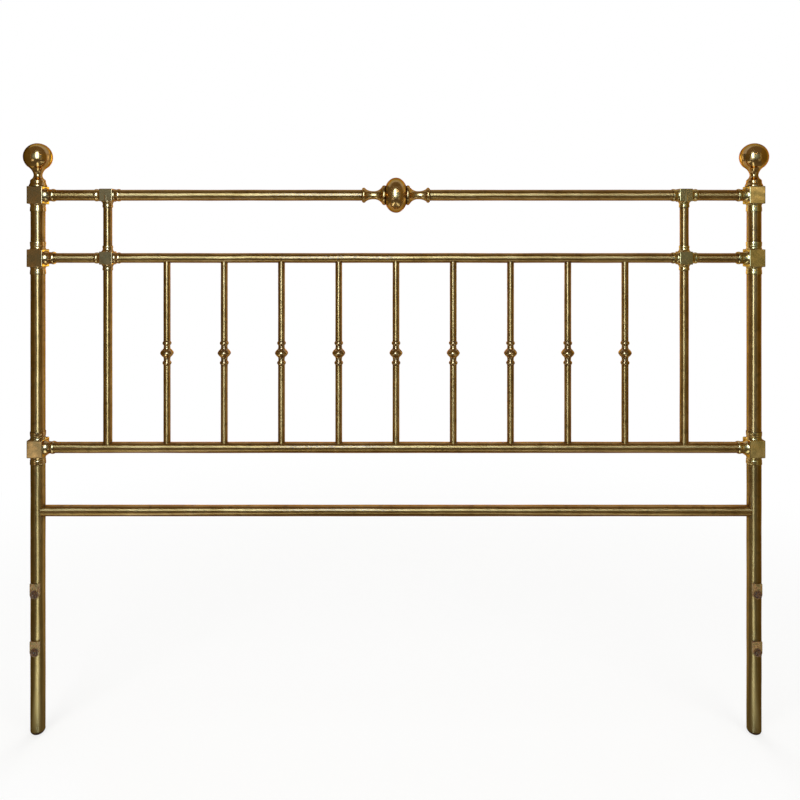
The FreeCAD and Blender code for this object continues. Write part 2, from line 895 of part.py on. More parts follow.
for number, x in enumerate(spindle_places, start=1):
    parts = []
    for label, bottom, top in spindle_tubes:
        part = tube(f"spindle_{number}_{label}", size.spindle_diameter, size.spindle_wall, top - bottom)
        parts.append(place(part, along_z, x=x, z=bottom))
    group(f"spindle_{number}_tubes", parts)
    knop = turned(f"spindle_{number}_turned", crowned(knop_outline, size.knop_crown_rise))
    keep(place(knop, along_z, x=x, z=knop_height), f"spindle_{number}_knop")


# Bolts for the bed frame: a saddle on the front of the leg, a washer, a nut and a stud end
saddle_front = post_radius + size.saddle_thickness
saddle_radius = size.saddle_width / 2
bolt_radius = size.bolt_diameter / 2
washer_front = saddle_front + size.washer_thickness
nut_front = washer_front + size.nut_height
bolt_hole = bolt_radius + size.bolt_play
head_seat = post_radius + size.tube_play
head_top = -head_seat - size.bolt_head_height
stud_radius = bolt_radius - size.bolt_end_relief
stud_end = nut_front + size.bolt_end_length
bolt_tip = stud_end + size.bolt_end_chamfer
nut_corner = size.nut_flats / math.sqrt(3)


def saddle(name):
    """A plate with a round lower end, hollowed to sit on the leg, about its bolt."""
    depth = saddle_front
    plate = fuse(name + "_plate", [
        block(name + "_upper", size.saddle_width, depth, size.saddle_rise, x=-saddle_radius, y=-depth),
        rod(name + "_end", saddle_radius, depth, along_front),
    ])
    drop = saddle_radius + size.overrun
    seat = rod(
        name + "_seat",
        post_radius + size.saddle_play,
        drop + size.saddle_rise + size.overrun,
        z=-drop,
    )
    hole = rod(name + "_hole", bolt_hole, depth + size.overrun, along_front)
    return cut(name, plate, [seat, hole])


def bolt(name):
    """A round-headed bolt; its axis runs towards the front, from the middle of the leg."""
    return turned(name, [
        Corner(zero, head_top),
        Corner(size.bolt_head_flat_radius, head_top, sagitta=-size.bolt_head_bow),
        Corner(size.bolt_head_radius, -head_seat - size.bolt_head_edge),
        Corner(size.bolt_head_radius, -head_seat),
        Corner(bolt_radius, -head_seat),
        Corner(bolt_radius, nut_front),
        Corner(stud_radius, nut_front),
        Corner(stud_radius, stud_end),
        Corner(bolt_radius - size.bolt_end_chamfer, bolt_tip),
        Corner(zero, bolt_tip),
    ])


def washer(name):
    return turned(name, [
        Corner(bolt_hole, zero),
        Corner(size.washer_diameter / 2, zero),
        Corner(size.washer_diameter / 2, size.washer_thickness),
        Corner(bolt_hole, size.washer_thickness),
    ])


def nut(name):
    """A hexagon nut whose corners are turned down at both faces."""
    chamfer = size.nut_chamfer
    bore = bolt_radius + size.thread_play
    edge = nut_corner - chamfer
    blank = turned(name + "_blank", [
        Corner(bore, zero),
        Corner(edge, zero),
        Corner(nut_corner, chamfer / 2),
        Corner(nut_corner, size.nut_height - chamfer / 2),
        Corner(edge, size.nut_height),
        Corner(bore, size.nut_height),
    ])
    prism = doc.addObject("Part::Prism", name + "_prism")
    prism.Polygon = 6
    bind(prism, Circumradius=nut_corner, Height=size.nut_height)
    result = doc.addObject("Part::Common", name)
    result.Base = prism
    result.Tool = blank
    return result


fasteners = {"frame_bolt_saddles": [], "frame_bolts": [], "frame_bolt_washers": [], "frame_bolt_nuts": []}
for side, (sign, turn) in SIDES.items():
    for number, height in enumerate(bolt_heights, start=1):
        x = half_spacing * sign
        name = f"{side}_{number}"
        plate = place(saddle(name + "_saddle"), along_z, x=x, z=height)
        screw = place(bolt(name + "_bolt"), along_front, x=x, z=height)
        ring = place(washer(name + "_washer"), along_front, x=x, y=-saddle_front, z=height)
        hexagon = place(nut(name + "_nut"), along_front, x=x, y=-washer_front, z=height)
        for label, item in zip(fasteners, (plate, screw, ring, hexagon)):
            fasteners[label].append(item)
for label, items in fasteners.items():
    group(label, items)


# Check every object and write each piece
doc.recompute()
failed = [item.Label for item in doc.Objects if "Invalid" in item.State or "Error" in item.State]
if failed:
    raise SystemExit(f"failed objects: {failed}")
for label, item in pieces.items():
    shape = item.Shape
    if shape.isNull() or not shape.isValid() or not shape.Solids:
        raise SystemExit(f"bad shape: {label}")

os.makedirs("parts", exist_ok=True)
for label, item in pieces.items():
    item.Shape.exportStep(f"parts/{label}.step")
    print(f"{label}: {len(item.Shape.Solids)} solids, {item.Shape.Volume:.0f} cubic millimetres")
print(f"{len(pieces)} pieces")
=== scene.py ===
"""Looks of a Victorian-style brass headboard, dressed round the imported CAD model.

Lengths are metres unless a name ends in _mm. The headboard stands on z = 0, its front faces -y.
"""

import logging
import math
import random
from dataclasses import dataclass, field
from enum import Enum
from typing import Any, Callable, Iterable

import bpy
import numpy as np
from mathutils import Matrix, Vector


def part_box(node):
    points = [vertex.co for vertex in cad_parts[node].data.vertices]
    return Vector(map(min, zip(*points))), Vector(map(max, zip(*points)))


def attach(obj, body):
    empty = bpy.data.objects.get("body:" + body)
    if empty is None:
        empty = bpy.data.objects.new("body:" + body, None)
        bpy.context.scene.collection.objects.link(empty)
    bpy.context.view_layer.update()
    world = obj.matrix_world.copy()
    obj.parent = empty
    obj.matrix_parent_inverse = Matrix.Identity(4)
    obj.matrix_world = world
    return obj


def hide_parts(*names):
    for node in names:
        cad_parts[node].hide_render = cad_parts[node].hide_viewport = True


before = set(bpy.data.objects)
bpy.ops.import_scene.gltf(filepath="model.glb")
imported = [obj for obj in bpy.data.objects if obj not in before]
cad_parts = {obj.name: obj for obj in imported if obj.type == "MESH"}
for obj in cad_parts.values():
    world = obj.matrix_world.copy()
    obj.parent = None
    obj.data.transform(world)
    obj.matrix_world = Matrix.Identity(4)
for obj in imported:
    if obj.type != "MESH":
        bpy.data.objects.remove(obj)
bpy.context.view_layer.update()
log = logging.getLogger("headboard")

MM = 0.001
BODY = "headboard"
SHARP_FROM = math.radians(28)
SPINDLE_NUMBERS = range(1, 10)


class Side(Enum):
    """The two posts, as seen from the front."""

    LEFT = "left"
    RIGHT = "right"


class Run(Enum):
    """The way that a tube, or the axis of a turned piece, runs."""

    UPRIGHT = 2
    CROSSWISE = 0


def linear(hex_colour: str) -> tuple[float, float, float, float]:
    """Turn an sRGB hex colour into linear values.

    Args:
        hex_colour: A colour such as "#b07a34".

    Returns:
        Red, green, blue and alpha, linear.
    """
    parts = [int(hex_colour[i:i + 2], 16) / 255 for i in (1, 3, 5)]
    low_end, gamma = 0.04045, 2.4
    red, green, blue = (
        part / 12.92 if part <= low_end else ((part + 0.055) / 1.055) ** gamma for part in parts
    )
    return red, green, blue, 1.0


def per_mm(spacing_mm: float) -> float:
    """Return the texture scale whose pattern repeats about every spacing_mm."""
    return 1 / (spacing_mm * MM)


def add_node(
    tree: bpy.types.NodeTree,
    kind: str,
    settings: dict[str, Any] | None = None,
    inputs: dict[str | int, Any] | None = None,
) -> bpy.types.Node:
    """Add a node with its settings, values and links.

    Args:
        tree: The node tree that gets the node.
        kind: Blender's name of the node type.
        settings: Properties of the node, set first.
        inputs: Values by input name or number. A node stands for its first enabled output.

    Returns:
        The new node.
    """
    node = tree.nodes.new(kind)
    for name, value in (settings or {}).items():
        setattr(node, name, value)
    for key, value in (inputs or {}).items():
        if isinstance(key, int):
            socket = node.inputs[key]
        else:
            socket = next(s for s in node.inputs if s.name == key and s.enabled)
        if isinstance(value, bpy.types.Node):
            value = next(s for s in value.outputs if s.enabled)
        if isinstance(value, bpy.types.NodeSocket):
            tree.links.new(value, socket)
        else:
            socket.default_value = value
    return node


def new_material(name: str) -> tuple[bpy.types.Material, bpy.types.NodeTree, bpy.types.NodeSocket]:
    """Start an empty material.

    Args:
        name: What the material is.

    Returns:
        The material, its node tree and the Object coordinates in it.
    """
    material = bpy.data.materials.new(name)
    material.use_nodes = True
    tree = material.node_tree
    tree.nodes.clear()
    coordinates = add_node(tree, "ShaderNodeTexCoord").outputs["Object"]
    return material, tree, coordinates


def along_axis(tree: bpy.types.NodeTree, run: Run) -> bpy.types.Node:
    """Return a node that gives a piece's own axis, along which its highlights are drawn out."""
    return add_node(tree, "ShaderNodeCombineXYZ", inputs={run.value: 1.0})


def stain(
    tree: bpy.types.NodeTree,
    colour: Any,
    over: str,
    pattern: Any,
    reach: tuple[float, float],
    amount: tuple[float, float] = (0.0, 1.0),
) -> tuple[bpy.types.Node, bpy.types.Node]:
    """Lay a second colour over a finish, as strongly as a pattern says.

    Args:
        tree: The material's node tree.
        colour: The colour so far.
        over: The second colour, as hex.
        pattern: What says where the second colour lies.
        reach: Two values of the pattern.
        amount: How much of the second colour shows at each of them.

    Returns:
        The new colour, and the share of the second colour in it.
    """
    share = add_node(tree, "ShaderNodeMapRange", inputs={
        "Value": pattern, "From Min": reach[0], "From Max": reach[1],
        "To Min": amount[0], "To Max": amount[1]})
    mixed = add_node(tree, "ShaderNodeMix", {"data_type": "RGBA"}, {
        "Factor": share, "A": colour, "B": linear(over)})
    return mixed, share


def darken_sheltered_corners(
    tree: bpy.types.NodeTree, colour: Any, corner_colour: str, reach_mm: float,
    openness: tuple[float, float], most: float,
) -> bpy.types.Node:
    """Darken the colour in the corners that other parts shelter.

    Args:
        tree: The material's node tree.
        colour: The colour so far.
        corner_colour: The dark colour, as hex.
        reach_mm: How far from a corner the darkening reaches.
        openness: How open a place is where the darkening starts, and where it is strongest.
        most: How much of the dark colour shows where it is strongest.

    Returns:
        The new colour.
    """
    # Mix the dark colour in where ambient occlusion finds other parts near.
    shelter = add_node(tree, "ShaderNodeAmbientOcclusion", {"samples": 4}, {"Distance": reach_mm * MM})
    return stain(tree, colour, corner_colour, shelter.outputs["AO"], openness, (0.0, most))[0]


@dataclass(frozen=True)
class DrawnBrass:
    """Thin brass tube, drawn through a die, polished and lacquered decades ago.

    The lacquer has yellowed in clouds and is pitted, so its reflections are crisp but uneven:
    cream where light falls on it, dark olive beside that, ochre towards the edges. The marks of
    the die are drawn coarser than real, to show in the render.
    """

    name: str
    run: Run
    bright: str = "#bd8840"
    mellow: str = "#a4712f"
    tarnish: str = "#74501f"
    speck: str = "#3a2410"
    sheltered_dark: str = "#2a1c0c"
    worn: str = "#a67f3e"
    edge_tint: str = "#b98a4a"
    lacquer_tint: str = "#fff6e0"
    smooth: float = 0.32
    rough: float = 0.38
    brushed: float = 1.0
    lacquer: float = 0.1
    cloud_mm: float = 70
    wave_depth_mm: float = 0.5
    stain_mm: float = 14
    speck_mm: float = 7
    draw_mark_mm: float = 2.5
    draw_mark_depth_mm: float = 0.03
    draw_stretch: float = 60
    sheltered_reach_mm: float = 9
    worn_height: float = 0.0

    def material(self) -> bpy.types.Material:
        """Build the material.

        Returns:
            The material.
        """
        material, tree, place = new_material(self.name)
        clouds = add_node(tree, "ShaderNodeTexNoise", inputs={
            "Vector": place, "Scale": per_mm(self.cloud_mm), "Detail": 3.0, "Roughness": 0.55})
        colour, _ = stain(tree, linear(self.bright), self.mellow, clouds, (0.36, 0.64))
        stains = add_node(tree, "ShaderNodeTexNoise", inputs={
            "Vector": place, "Scale": per_mm(self.stain_mm), "Detail": 5.0, "Roughness": 0.62})
        colour, _ = stain(tree, colour, self.tarnish, stains, (0.54, 0.74), (0.0, 0.75))
        pits = add_node(tree, "ShaderNodeTexVoronoi", inputs={
            "Vector": place, "Scale": per_mm(self.speck_mm), "Randomness": 1.0})
        colour, _ = stain(tree, colour, self.speck, pits, (0.05, 0.11), (0.6, 0.0))
        stretch = [1.0, 1.0, 1.0]
        stretch[self.run.value] = 1 / self.draw_stretch
        along = add_node(tree, "ShaderNodeMapping", inputs={"Vector": place, "Scale": stretch})
        draw_marks = add_node(tree, "ShaderNodeTexNoise", inputs={
            "Vector": along, "Scale": per_mm(self.draw_mark_mm), "Detail": 3.0})
        gloss = add_node(tree, "ShaderNodeMath", {"operation": "MULTIPLY_ADD"}, {
            0: draw_marks, 1: 0.6, 2: stains})
        roughness = add_node(tree, "ShaderNodeMapRange", inputs={
            "Value": gloss, "From Min": 0.6, "From Max": 1.05,
            "To Min": self.smooth, "To Max": self.rough})
        if self.worn_height > 0:
            colour, roughness = self._worn_off(tree, place, stains, colour, roughness)
        # Darker in the corners that other parts shelter.
        colour = darken_sheltered_corners(tree, colour, self.sheltered_dark, self.sheltered_reach_mm, (0.85, 0.45), 0.8)
        marks = add_node(tree, "ShaderNodeBump", inputs={
            "Strength": 0.5, "Distance": self.draw_mark_depth_mm * MM, "Height": draw_marks})
        waves = add_node(tree, "ShaderNodeBump", inputs={
            "Strength": 0.7, "Distance": self.wave_depth_mm * MM, "Height": clouds, "Normal": marks})
        surface = add_node(tree, "ShaderNodeBsdfPrincipled", inputs={
            "Base Color": colour, "Metallic": 1.0, "Roughness": roughness, "Normal": waves,
            "Anisotropic": self.brushed, "Tangent": along_axis(tree, self.run),
            "Specular Tint": linear(self.edge_tint), "Coat Weight": self.lacquer,
            "Coat Roughness": 0.12, "Coat Tint": linear(self.lacquer_tint)})
        add_node(tree, "ShaderNodeOutputMaterial", inputs={"Surface": surface})
        return material

    def _worn_off(
        self, tree: bpy.types.NodeTree, place: bpy.types.NodeSocket, stains: bpy.types.Node,
        colour: bpy.types.Node, roughness: bpy.types.Node,
    ) -> tuple[bpy.types.Node, bpy.types.Node]:
        """Wear the lacquer off in patches, more and more towards the floor.

        Args:
            tree: The material's node tree.
            place: Object coordinates.
            stains: The pattern that the wear follows.
            colour: The colour so far.
            roughness: The roughness so far.

        Returns:
            The new colour and roughness.
        """
        height = add_node(tree, "ShaderNodeSeparateXYZ", inputs={"Vector": place})
        fade = add_node(tree, "ShaderNodeMapRange", inputs={
            "Value": height.outputs["Z"], "From Min": self.worn_height, "From Max": 0.0,
            "To Min": 0.25, "To Max": 0.9})
        patches = add_node(tree, "ShaderNodeMath", {"operation": "MULTIPLY_ADD"}, {
            0: stains, 1: 0.5, 2: fade})
        share = add_node(tree, "ShaderNodeMath", {"operation": "SUBTRACT", "use_clamp": True}, {
            0: patches, 1: 0.25})
        colour = add_node(tree, "ShaderNodeMix", {"data_type": "RGBA"}, {
            "Factor": share, "A": colour, "B": linear(self.worn)})
        roughness = add_node(tree, "ShaderNodeMath", {"operation": "MULTIPLY_ADD"}, {
            0: share, 1: 0.07, 2: roughness})
        return colour, roughness


@dataclass(frozen=True)
class CastBrass:
    """Sand-cast brass, filed flat, hand-polished and lacquered.

    The faces are smooth and hazy with patches of olive tarnish; edges are painted paler, as rubbed
    brass and as a painted highlight, and the grooves by the tubes are darker. The grain left by the
    sand is drawn coarser than real.
    """

    name: str
    face: str
    olive: str
    # Paler edge colour: rubbed brass, and a painted highlight along the edges.
    rubbed: str = "#d2a85e"
    groove: str = "#2a1a0c"
    edge_tint: str = "#b8895a"
    smooth: float = 0.15
    rough: float = 0.24
    mottle_mm: float = 24
    grain_mm: float = 1.6
    grain_depth_mm: float = 0.01
    dimple_mm: float = 34
    dimple_depth_mm: float = 1.1
    edge_mm: float = 1.1
    groove_reach_mm: float = 7

    def material(self) -> bpy.types.Material:
        """Build the material.

        Returns:
            The material.
        """
        material, tree, place = new_material(self.name)
        mottle = add_node(tree, "ShaderNodeTexNoise", inputs={
            "Vector": place, "Scale": per_mm(self.mottle_mm), "Detail": 5.0, "Roughness": 0.6})
        colour, _ = stain(tree, linear(self.face), self.olive, mottle, (0.4, 0.64))
        # Edges painted paler, as rubbed brass and as a painted highlight: where a bevelled normal parts
        # from the true one, there is an edge.
        softened = add_node(tree, "ShaderNodeBevel", {"samples": 4}, {"Radius": self.edge_mm * MM})
        true_normal = add_node(tree, "ShaderNodeNewGeometry").outputs["Normal"]
        likeness = add_node(tree, "ShaderNodeVectorMath", {"operation": "DOT_PRODUCT"}, {
            0: softened, 1: true_normal})
        colour, _ = stain(tree, colour, self.rubbed, likeness.outputs["Value"], (0.99, 0.9), (0.0, 0.8))
        # Darker in the grooves by the tubes.
        colour = darken_sheltered_corners(tree, colour, self.groove, self.groove_reach_mm, (0.9, 0.4), 0.92)
        grain = add_node(tree, "ShaderNodeTexNoise", inputs={
            "Vector": place, "Scale": per_mm(self.grain_mm), "Detail": 2.0})
        dimples = add_node(tree, "ShaderNodeTexNoise", inputs={
            "Vector": place, "Scale": per_mm(self.dimple_mm), "Detail": 1.0})
        roughness = add_node(tree, "ShaderNodeMapRange", inputs={
            "Value": mottle, "From Min": 0.3, "From Max": 0.7,
            "To Min": self.smooth, "To Max": self.rough})
        sand = add_node(tree, "ShaderNodeBump", inputs={
            "Strength": 0.15, "Distance": self.grain_depth_mm * MM, "Height": grain})
        hollows = add_node(tree, "ShaderNodeBump", inputs={
            "Strength": 0.7, "Distance": self.dimple_depth_mm * MM, "Height": dimples, "Normal": sand})
        surface = add_node(tree, "ShaderNodeBsdfPrincipled", inputs={
            "Base Color": colour, "Metallic": 1.0, "Roughness": roughness, "Normal": hollows,
            "Specular Tint": linear(self.edge_tint), "Coat Weight": 0.08, "Coat Roughness": 0.2})
        add_node(tree, "ShaderNodeOutputMaterial", inputs={"Surface": surface})
        return material


@dataclass(frozen=True)
class SpunBrass:
    """Brass turned on a lathe, buffed and lacquered.

    Fine rings run round the axis, the swellings mirror the room, red-brown tarnish lies in spots, and
    the hollows between the beads are darker. The rings are drawn coarser than real, to show in the render.
    """

    name: str
    run: Run
    bright: str = "#cd9246"
    mellow: str = "#b07b35"
    tarnish: str = "#6e3f18"
    hollow: str = "#241407"
    edge_tint: str = "#b98a4a"
    smooth: float = 0.1
    rough: float = 0.25
    brushed: float = 0.45
    ring_mm: float = 0.9
    ring_depth_mm: float = 0.02
    ring_stretch: float = 25
    cloud_mm: float = 30
    cloud_depth_mm: float = 0.25
    spot_mm: float = 9
    hollow_reach_mm: float = 12

    def material(self) -> bpy.types.Material:
        """Build the material.

        Returns:
            The material.
        """
        material, tree, place = new_material(self.name)
        clouds = add_node(tree, "ShaderNodeTexNoise", inputs={
            "Vector": place, "Scale": per_mm(self.cloud_mm), "Detail": 4.0, "Roughness": 0.6})
        colour, _ = stain(tree, linear(self.bright), self.mellow, clouds, (0.4, 0.66))
        spots = add_node(tree, "ShaderNodeTexVoronoi", {"feature": "SMOOTH_F1"}, {
            "Vector": place, "Scale": per_mm(self.spot_mm), "Smoothness": 0.4})
        colour, _ = stain(tree, colour, self.tarnish, spots, (0.05, 0.16), (0.55, 0.0))
        # Darker in the hollows between the beads.
        colour = darken_sheltered_corners(tree, colour, self.hollow, self.hollow_reach_mm, (0.95, 0.5), 0.92)
        squeeze = [1 / self.ring_stretch] * 3
        squeeze[self.run.value] = 1.0
        along = add_node(tree, "ShaderNodeMapping", inputs={"Vector": place, "Scale": squeeze})
        rings = add_node(tree, "ShaderNodeTexNoise", inputs={
            "Vector": along, "Scale": per_mm(self.ring_mm), "Detail": 2.0})
        gloss = add_node(tree, "ShaderNodeMath", {"operation": "MULTIPLY_ADD"}, {
            0: rings, 1: 0.4, 2: clouds})
        roughness = add_node(tree, "ShaderNodeMapRange", inputs={
            "Value": gloss, "From Min": 0.55, "From Max": 0.85,
            "To Min": self.smooth, "To Max": self.rough})
        turning = add_node(tree, "ShaderNodeBump", inputs={
            "Strength": 0.35, "Distance": self.ring_depth_mm * MM, "Height": rings})
        buffing = add_node(tree, "ShaderNodeBump", inputs={
            "Strength": 0.5, "Distance": self.cloud_depth_mm * MM, "Height": clouds,
            "Normal": turning})
        surface = add_node(tree, "ShaderNodeBsdfPrincipled", inputs={
            "Base Color": colour, "Metallic": 1.0, "Roughness": roughness, "Normal": buffing,
            "Anisotropic": self.brushed, "Tangent": along_axis(tree, self.run),
            "Specular Tint": linear(self.edge_tint), "Coat Weight": 0.05, "Coat Roughness": 0.1})
        add_node(tree, "ShaderNodeOutputMaterial", inputs={"Surface": surface})
        return material


@dataclass(frozen=True)
class RustedMetal:
    """Bare metal that has rusted where a wrench or a wet floor broke its skin.

    Matt, pitted and mottled: brown crust, brighter orange blooms and grey metal rubbed bare.
    """

    name: str
    crust: str = "#42301c"
    bloom: str = "#6c4a26"
    bare: str = "#7c6c50"
    pit: str = "#22150d"
    bare_metal: float = 0.7
    bloom_mm: float = 5
    wear_share: float = 1.7
    pit_mm: float = 2.2
    pit_depth_mm: float = 0.15
    bare_from: float = 0.56
    relief_mm: float = 0.25

    def material(self) -> bpy.types.Material:
        """Build the material.

        Returns:
            The material.
        """
        material, tree, place = new_material(self.name)
        blooms = add_node(tree, "ShaderNodeTexNoise", inputs={
            "Vector": place, "Scale": per_mm(self.bloom_mm), "Detail": 5.0, "Roughness": 0.68})
        colour, _ = stain(tree, linear(self.crust), self.bloom, blooms, (0.38, 0.6))
        wear = add_node(tree, "ShaderNodeTexNoise", inputs={
            "Vector": place, "Scale": per_mm(self.bloom_mm * self.wear_share), "Detail": 3.0})
        colour, bare_share = stain(
            tree, colour, self.bare, wear, (self.bare_from, self.bare_from + 0.1))
        pits = add_node(tree, "ShaderNodeTexVoronoi", inputs={
            "Vector": place, "Scale": per_mm(self.pit_mm), "Randomness": 1.0})
        colour, pit_share = stain(tree, colour, self.pit, pits, (0.12, 0.32), (0.8, 0.0))
        metallic = add_node(tree, "ShaderNodeMath", {"operation": "MULTIPLY_ADD"}, {
            0: bare_share, 1: self.bare_metal, 2: 0.15})
        roughness = add_node(tree, "ShaderNodeMapRange", inputs={
            "Value": bare_share, "To Min": 0.82, "To Max": 0.4})
        relief = add_node(tree, "ShaderNodeBump", inputs={
            "Strength": 0.8, "Distance": self.relief_mm * MM, "Height": blooms})
        craters = add_node(tree, "ShaderNodeBump", {"invert": True}, {
            "Strength": 0.7, "Distance": self.pit_depth_mm * MM, "Height": pit_share,
            "Normal": relief})
        surface = add_node(tree, "ShaderNodeBsdfPrincipled", inputs={
            "Base Color": colour, "Metallic": metallic, "Roughness": roughness, "Normal": craters,
            "Specular IOR Level": 0.2})
        add_node(tree, "ShaderNodeOutputMaterial", inputs={"Surface": surface})
        return material


@dataclass(frozen=True)
class ZincedSteel:
    """Rolled-thread steel rod with a dulled zinc skin: grey, satin, ridged by its thread."""

    name: str = "zinc_plated_steel"
    zinc: str = "#8f8c86"
    dull: str = "#5f5a52"
    thread_pitch_mm: float = 1.5
    thread_depth_mm: float = 0.4
    bloom_mm: float = 12

    def material(self) -> bpy.types.Material:
        """Build the material.

        Returns:
            The material.
        """
        material, tree, place = new_material(self.name)
        blooms = add_node(tree, "ShaderNodeTexNoise", inputs={
            "Vector": place, "Scale": per_mm(self.bloom_mm), "Detail": 4.0})
        colour = add_node(tree, "ShaderNodeMix", {"data_type": "RGBA"}, {
            "Factor": blooms, "A": linear(self.zinc), "B": linear(self.dull)})
        bands_at_scale_one = 20 / math.tau
        thread = add_node(tree, "ShaderNodeTexWave", {"bands_direction": "Z"}, {
            "Vector": place, "Scale": per_mm(self.thread_pitch_mm) / bands_at_scale_one,
            "Detail": 0.0})
        ridges = add_node(tree, "ShaderNodeBump", inputs={
            "Strength": 0.8, "Distance": self.thread_depth_mm * MM, "Height": thread})
        surface = add_node(tree, "ShaderNodeBsdfPrincipled", inputs={
            "Base Color": colour, "Metallic": 1.0, "Roughness": 0.42, "Normal": ridges})
        add_node(tree, "ShaderNodeOutputMaterial", inputs={"Surface": surface})
        return material


class Finishes:
    """Every finish on the headboard, each made once."""

    def __init__(self) -> None:
        """Make the materials."""
        self.upright_tube = DrawnBrass("lacquered_brass_tube_upright", Run.UPRIGHT).material()
        self.cross_tube = DrawnBrass("lacquered_brass_tube_crosswise", Run.CROSSWISE).material()
        # Duller than the other tubes, and matt ochre near the floor.
        self.leg_tube = DrawnBrass(
            "worn_lacquered_brass_leg", Run.UPRIGHT, bright="#b3823c", mellow="#96692c",
            tarnish="#654a20", smooth=0.3, brushed=0.9, lacquer=0.05, worn_height=0.6,
        ).material()
        # One cast brass in two copies: the left castings darker as painted shade, the right ones paler as
        # painted light.
        self.cast = {
            Side.LEFT: CastBrass("cast_brass_painted_shade", "#c98f46", "#a37c3f").material(),
            Side.RIGHT: CastBrass("cast_brass_painted_light", "#d6a250", "#b28c42").material(),
        }
        self.ball = SpunBrass("spun_brass_upright", Run.UPRIGHT).material()
        # Small beads, browner than the balls.
        self.knop = SpunBrass(
            "turned_brass_knop", Run.UPRIGHT, bright="#bd8843", mellow="#956835", cloud_mm=16,
        ).material()
        self.ornament = SpunBrass(
            "spun_brass_crosswise", Run.CROSSWISE, smooth=0.19, rough=0.29, mellow="#aa7835",
        ).material()
        # Matt, with rust from the bolts over a brass that still shows through.
        self.saddle = RustedMetal(
            "pitted_rust_stained_brass", crust="#684a2a", bloom="#957240", bare="#cba45e",
            bare_metal=0.8, bloom_mm=4, pit_mm=2.6, bare_from=0.45,
        ).material()
        self.rusted = RustedMetal("rusted_steel").material()
        self.zinced = ZincedSteel().material()
        # Small dark stains on red-brown metal, darker over the lowest 12 mm.
        self.glide = DrawnBrass(
            "tarnished_brass_glide", Run.UPRIGHT, bright="#a67c48", mellow="#84603a",
            tarnish="#4a3018", worn="#6a4a30", smooth=0.2, rough=0.36, cloud_mm=14, stain_mm=5,
            worn_height=0.012,
        ).material()


def linked(name: str, data: Any) -> bpy.types.Object:
    """Make an object of a mesh, lamp or camera, link it to the scene and return it."""
    made = bpy.data.objects.new(name, data)
    bpy.context.scene.collection.objects.link(made)
    return made


def dress(node: str, material: bpy.types.Material) -> None:
    """Give a CAD node its finish, in its object's own slots.

    Args:
        node: The node's name.
        material: The finish.
    """
    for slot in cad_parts[node].material_slots:
        slot.link = "OBJECT"
        slot.material = material
    log.info("%s: %s", node, material.name)


def mesh_object(name: str, vertices: np.ndarray, faces: Iterable[Iterable[int]]) -> bpy.types.Object:
    """Make a smooth-shaded object from points and faces.

    Args:
        name: The object's name.
        vertices: Points, one row each.
        faces: Vertex numbers of each face, counter-clockwise from outside.

    Returns:
        The object, linked to the scene.
    """
    mesh = bpy.data.meshes.new(name)
    mesh.from_pydata(vertices.tolist(), [], [list(face) for face in faces])
    mesh.validate()
    mesh.shade_smooth()
    mesh.set_sharp_from_angle(angle=SHARP_FROM)
    return linked(name, mesh)


def take_part(piece: bpy.types.Object, material: bpy.types.Material, slot: str, *nodes: str) -> None:
    """Finish a new piece and set it in the place of its CAD nodes.

    Args:
        piece: The new piece, its place in its mesh.
        material: Its finish.
        slot: The name of its material slot; not used.
        nodes: The CAD nodes that it stands for.
    """
    piece.data.materials.clear()
    piece.data.materials.append(material)
    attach(piece, BODY)
    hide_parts(*nodes)
    log.info("%s: %d faces, %s", piece.name, len(piece.data.polygons), material.name)


@dataclass
class Revolved:
    """A closed outline turned about an axis, whose radius may vary with place and angle."""

    outline: list[tuple[float, float]]
    sides: int
    relief: Callable[[np.ndarray, np.ndarray], np.ndarray]

    def points(self) -> np.ndarray:
        """Work out the surface's points, with the axis along z.

        Returns:
            The points, one row each, ring after ring.
        """
        radius = np.array([point[0] for point in self.outline])[:, None]
        along = np.array([point[1] for point in self.outline])[:, None]
        angle = np.linspace(0, math.tau, self.sides, endpoint=False)[None, :]
        radius = radius + self.relief(along, angle)
        return np.stack(
            [radius * np.cos(angle), radius * np.sin(angle), along + 0 * angle], axis=-1
        ).reshape(-1, 3)

    def faces(self) -> list[tuple[int, int, int, int]]:
        """Join neighbouring rings, and the last ring to the first.

        Returns:
            The faces, as point numbers.
        """
        rings = len(self.outline)
        made = []
        for ring in range(rings):
            here, after = ring * self.sides, (ring + 1) % rings * self.sides
            for side in range(self.sides):
                turn = (side + 1) % self.sides
                made.append((here + side, here + turn, after + turn, after + side))
        return made


@dataclass(frozen=True)
class Dent:
    """A shallow knock in a tube: where along it, towards which side, how wide and how deep."""

    along: float
    angle: float
    length: float
    depth: float
    spread: float = 0.7

    def relief(self, along: np.ndarray, angle: np.ndarray) -> np.ndarray:
        """Work out how far the knock pushes each point in.

        Args:
            along: Places along the tube.
            angle: Places round the tube.

        Returns:
            A negative radius where the knock is.
        """
        turn = (angle - self.angle + math.pi) % math.tau - math.pi
        away = ((along - self.along) / self.length) ** 2 + (turn / self.spread) ** 2
        return -self.depth * np.exp(-away)


@dataclass(frozen=True)
class Hole:
    """A drilled hole in a tube's wall: the drill's middle, way, radius and length."""

    middle: Vector
    way: Vector
    radius: float
    length: float


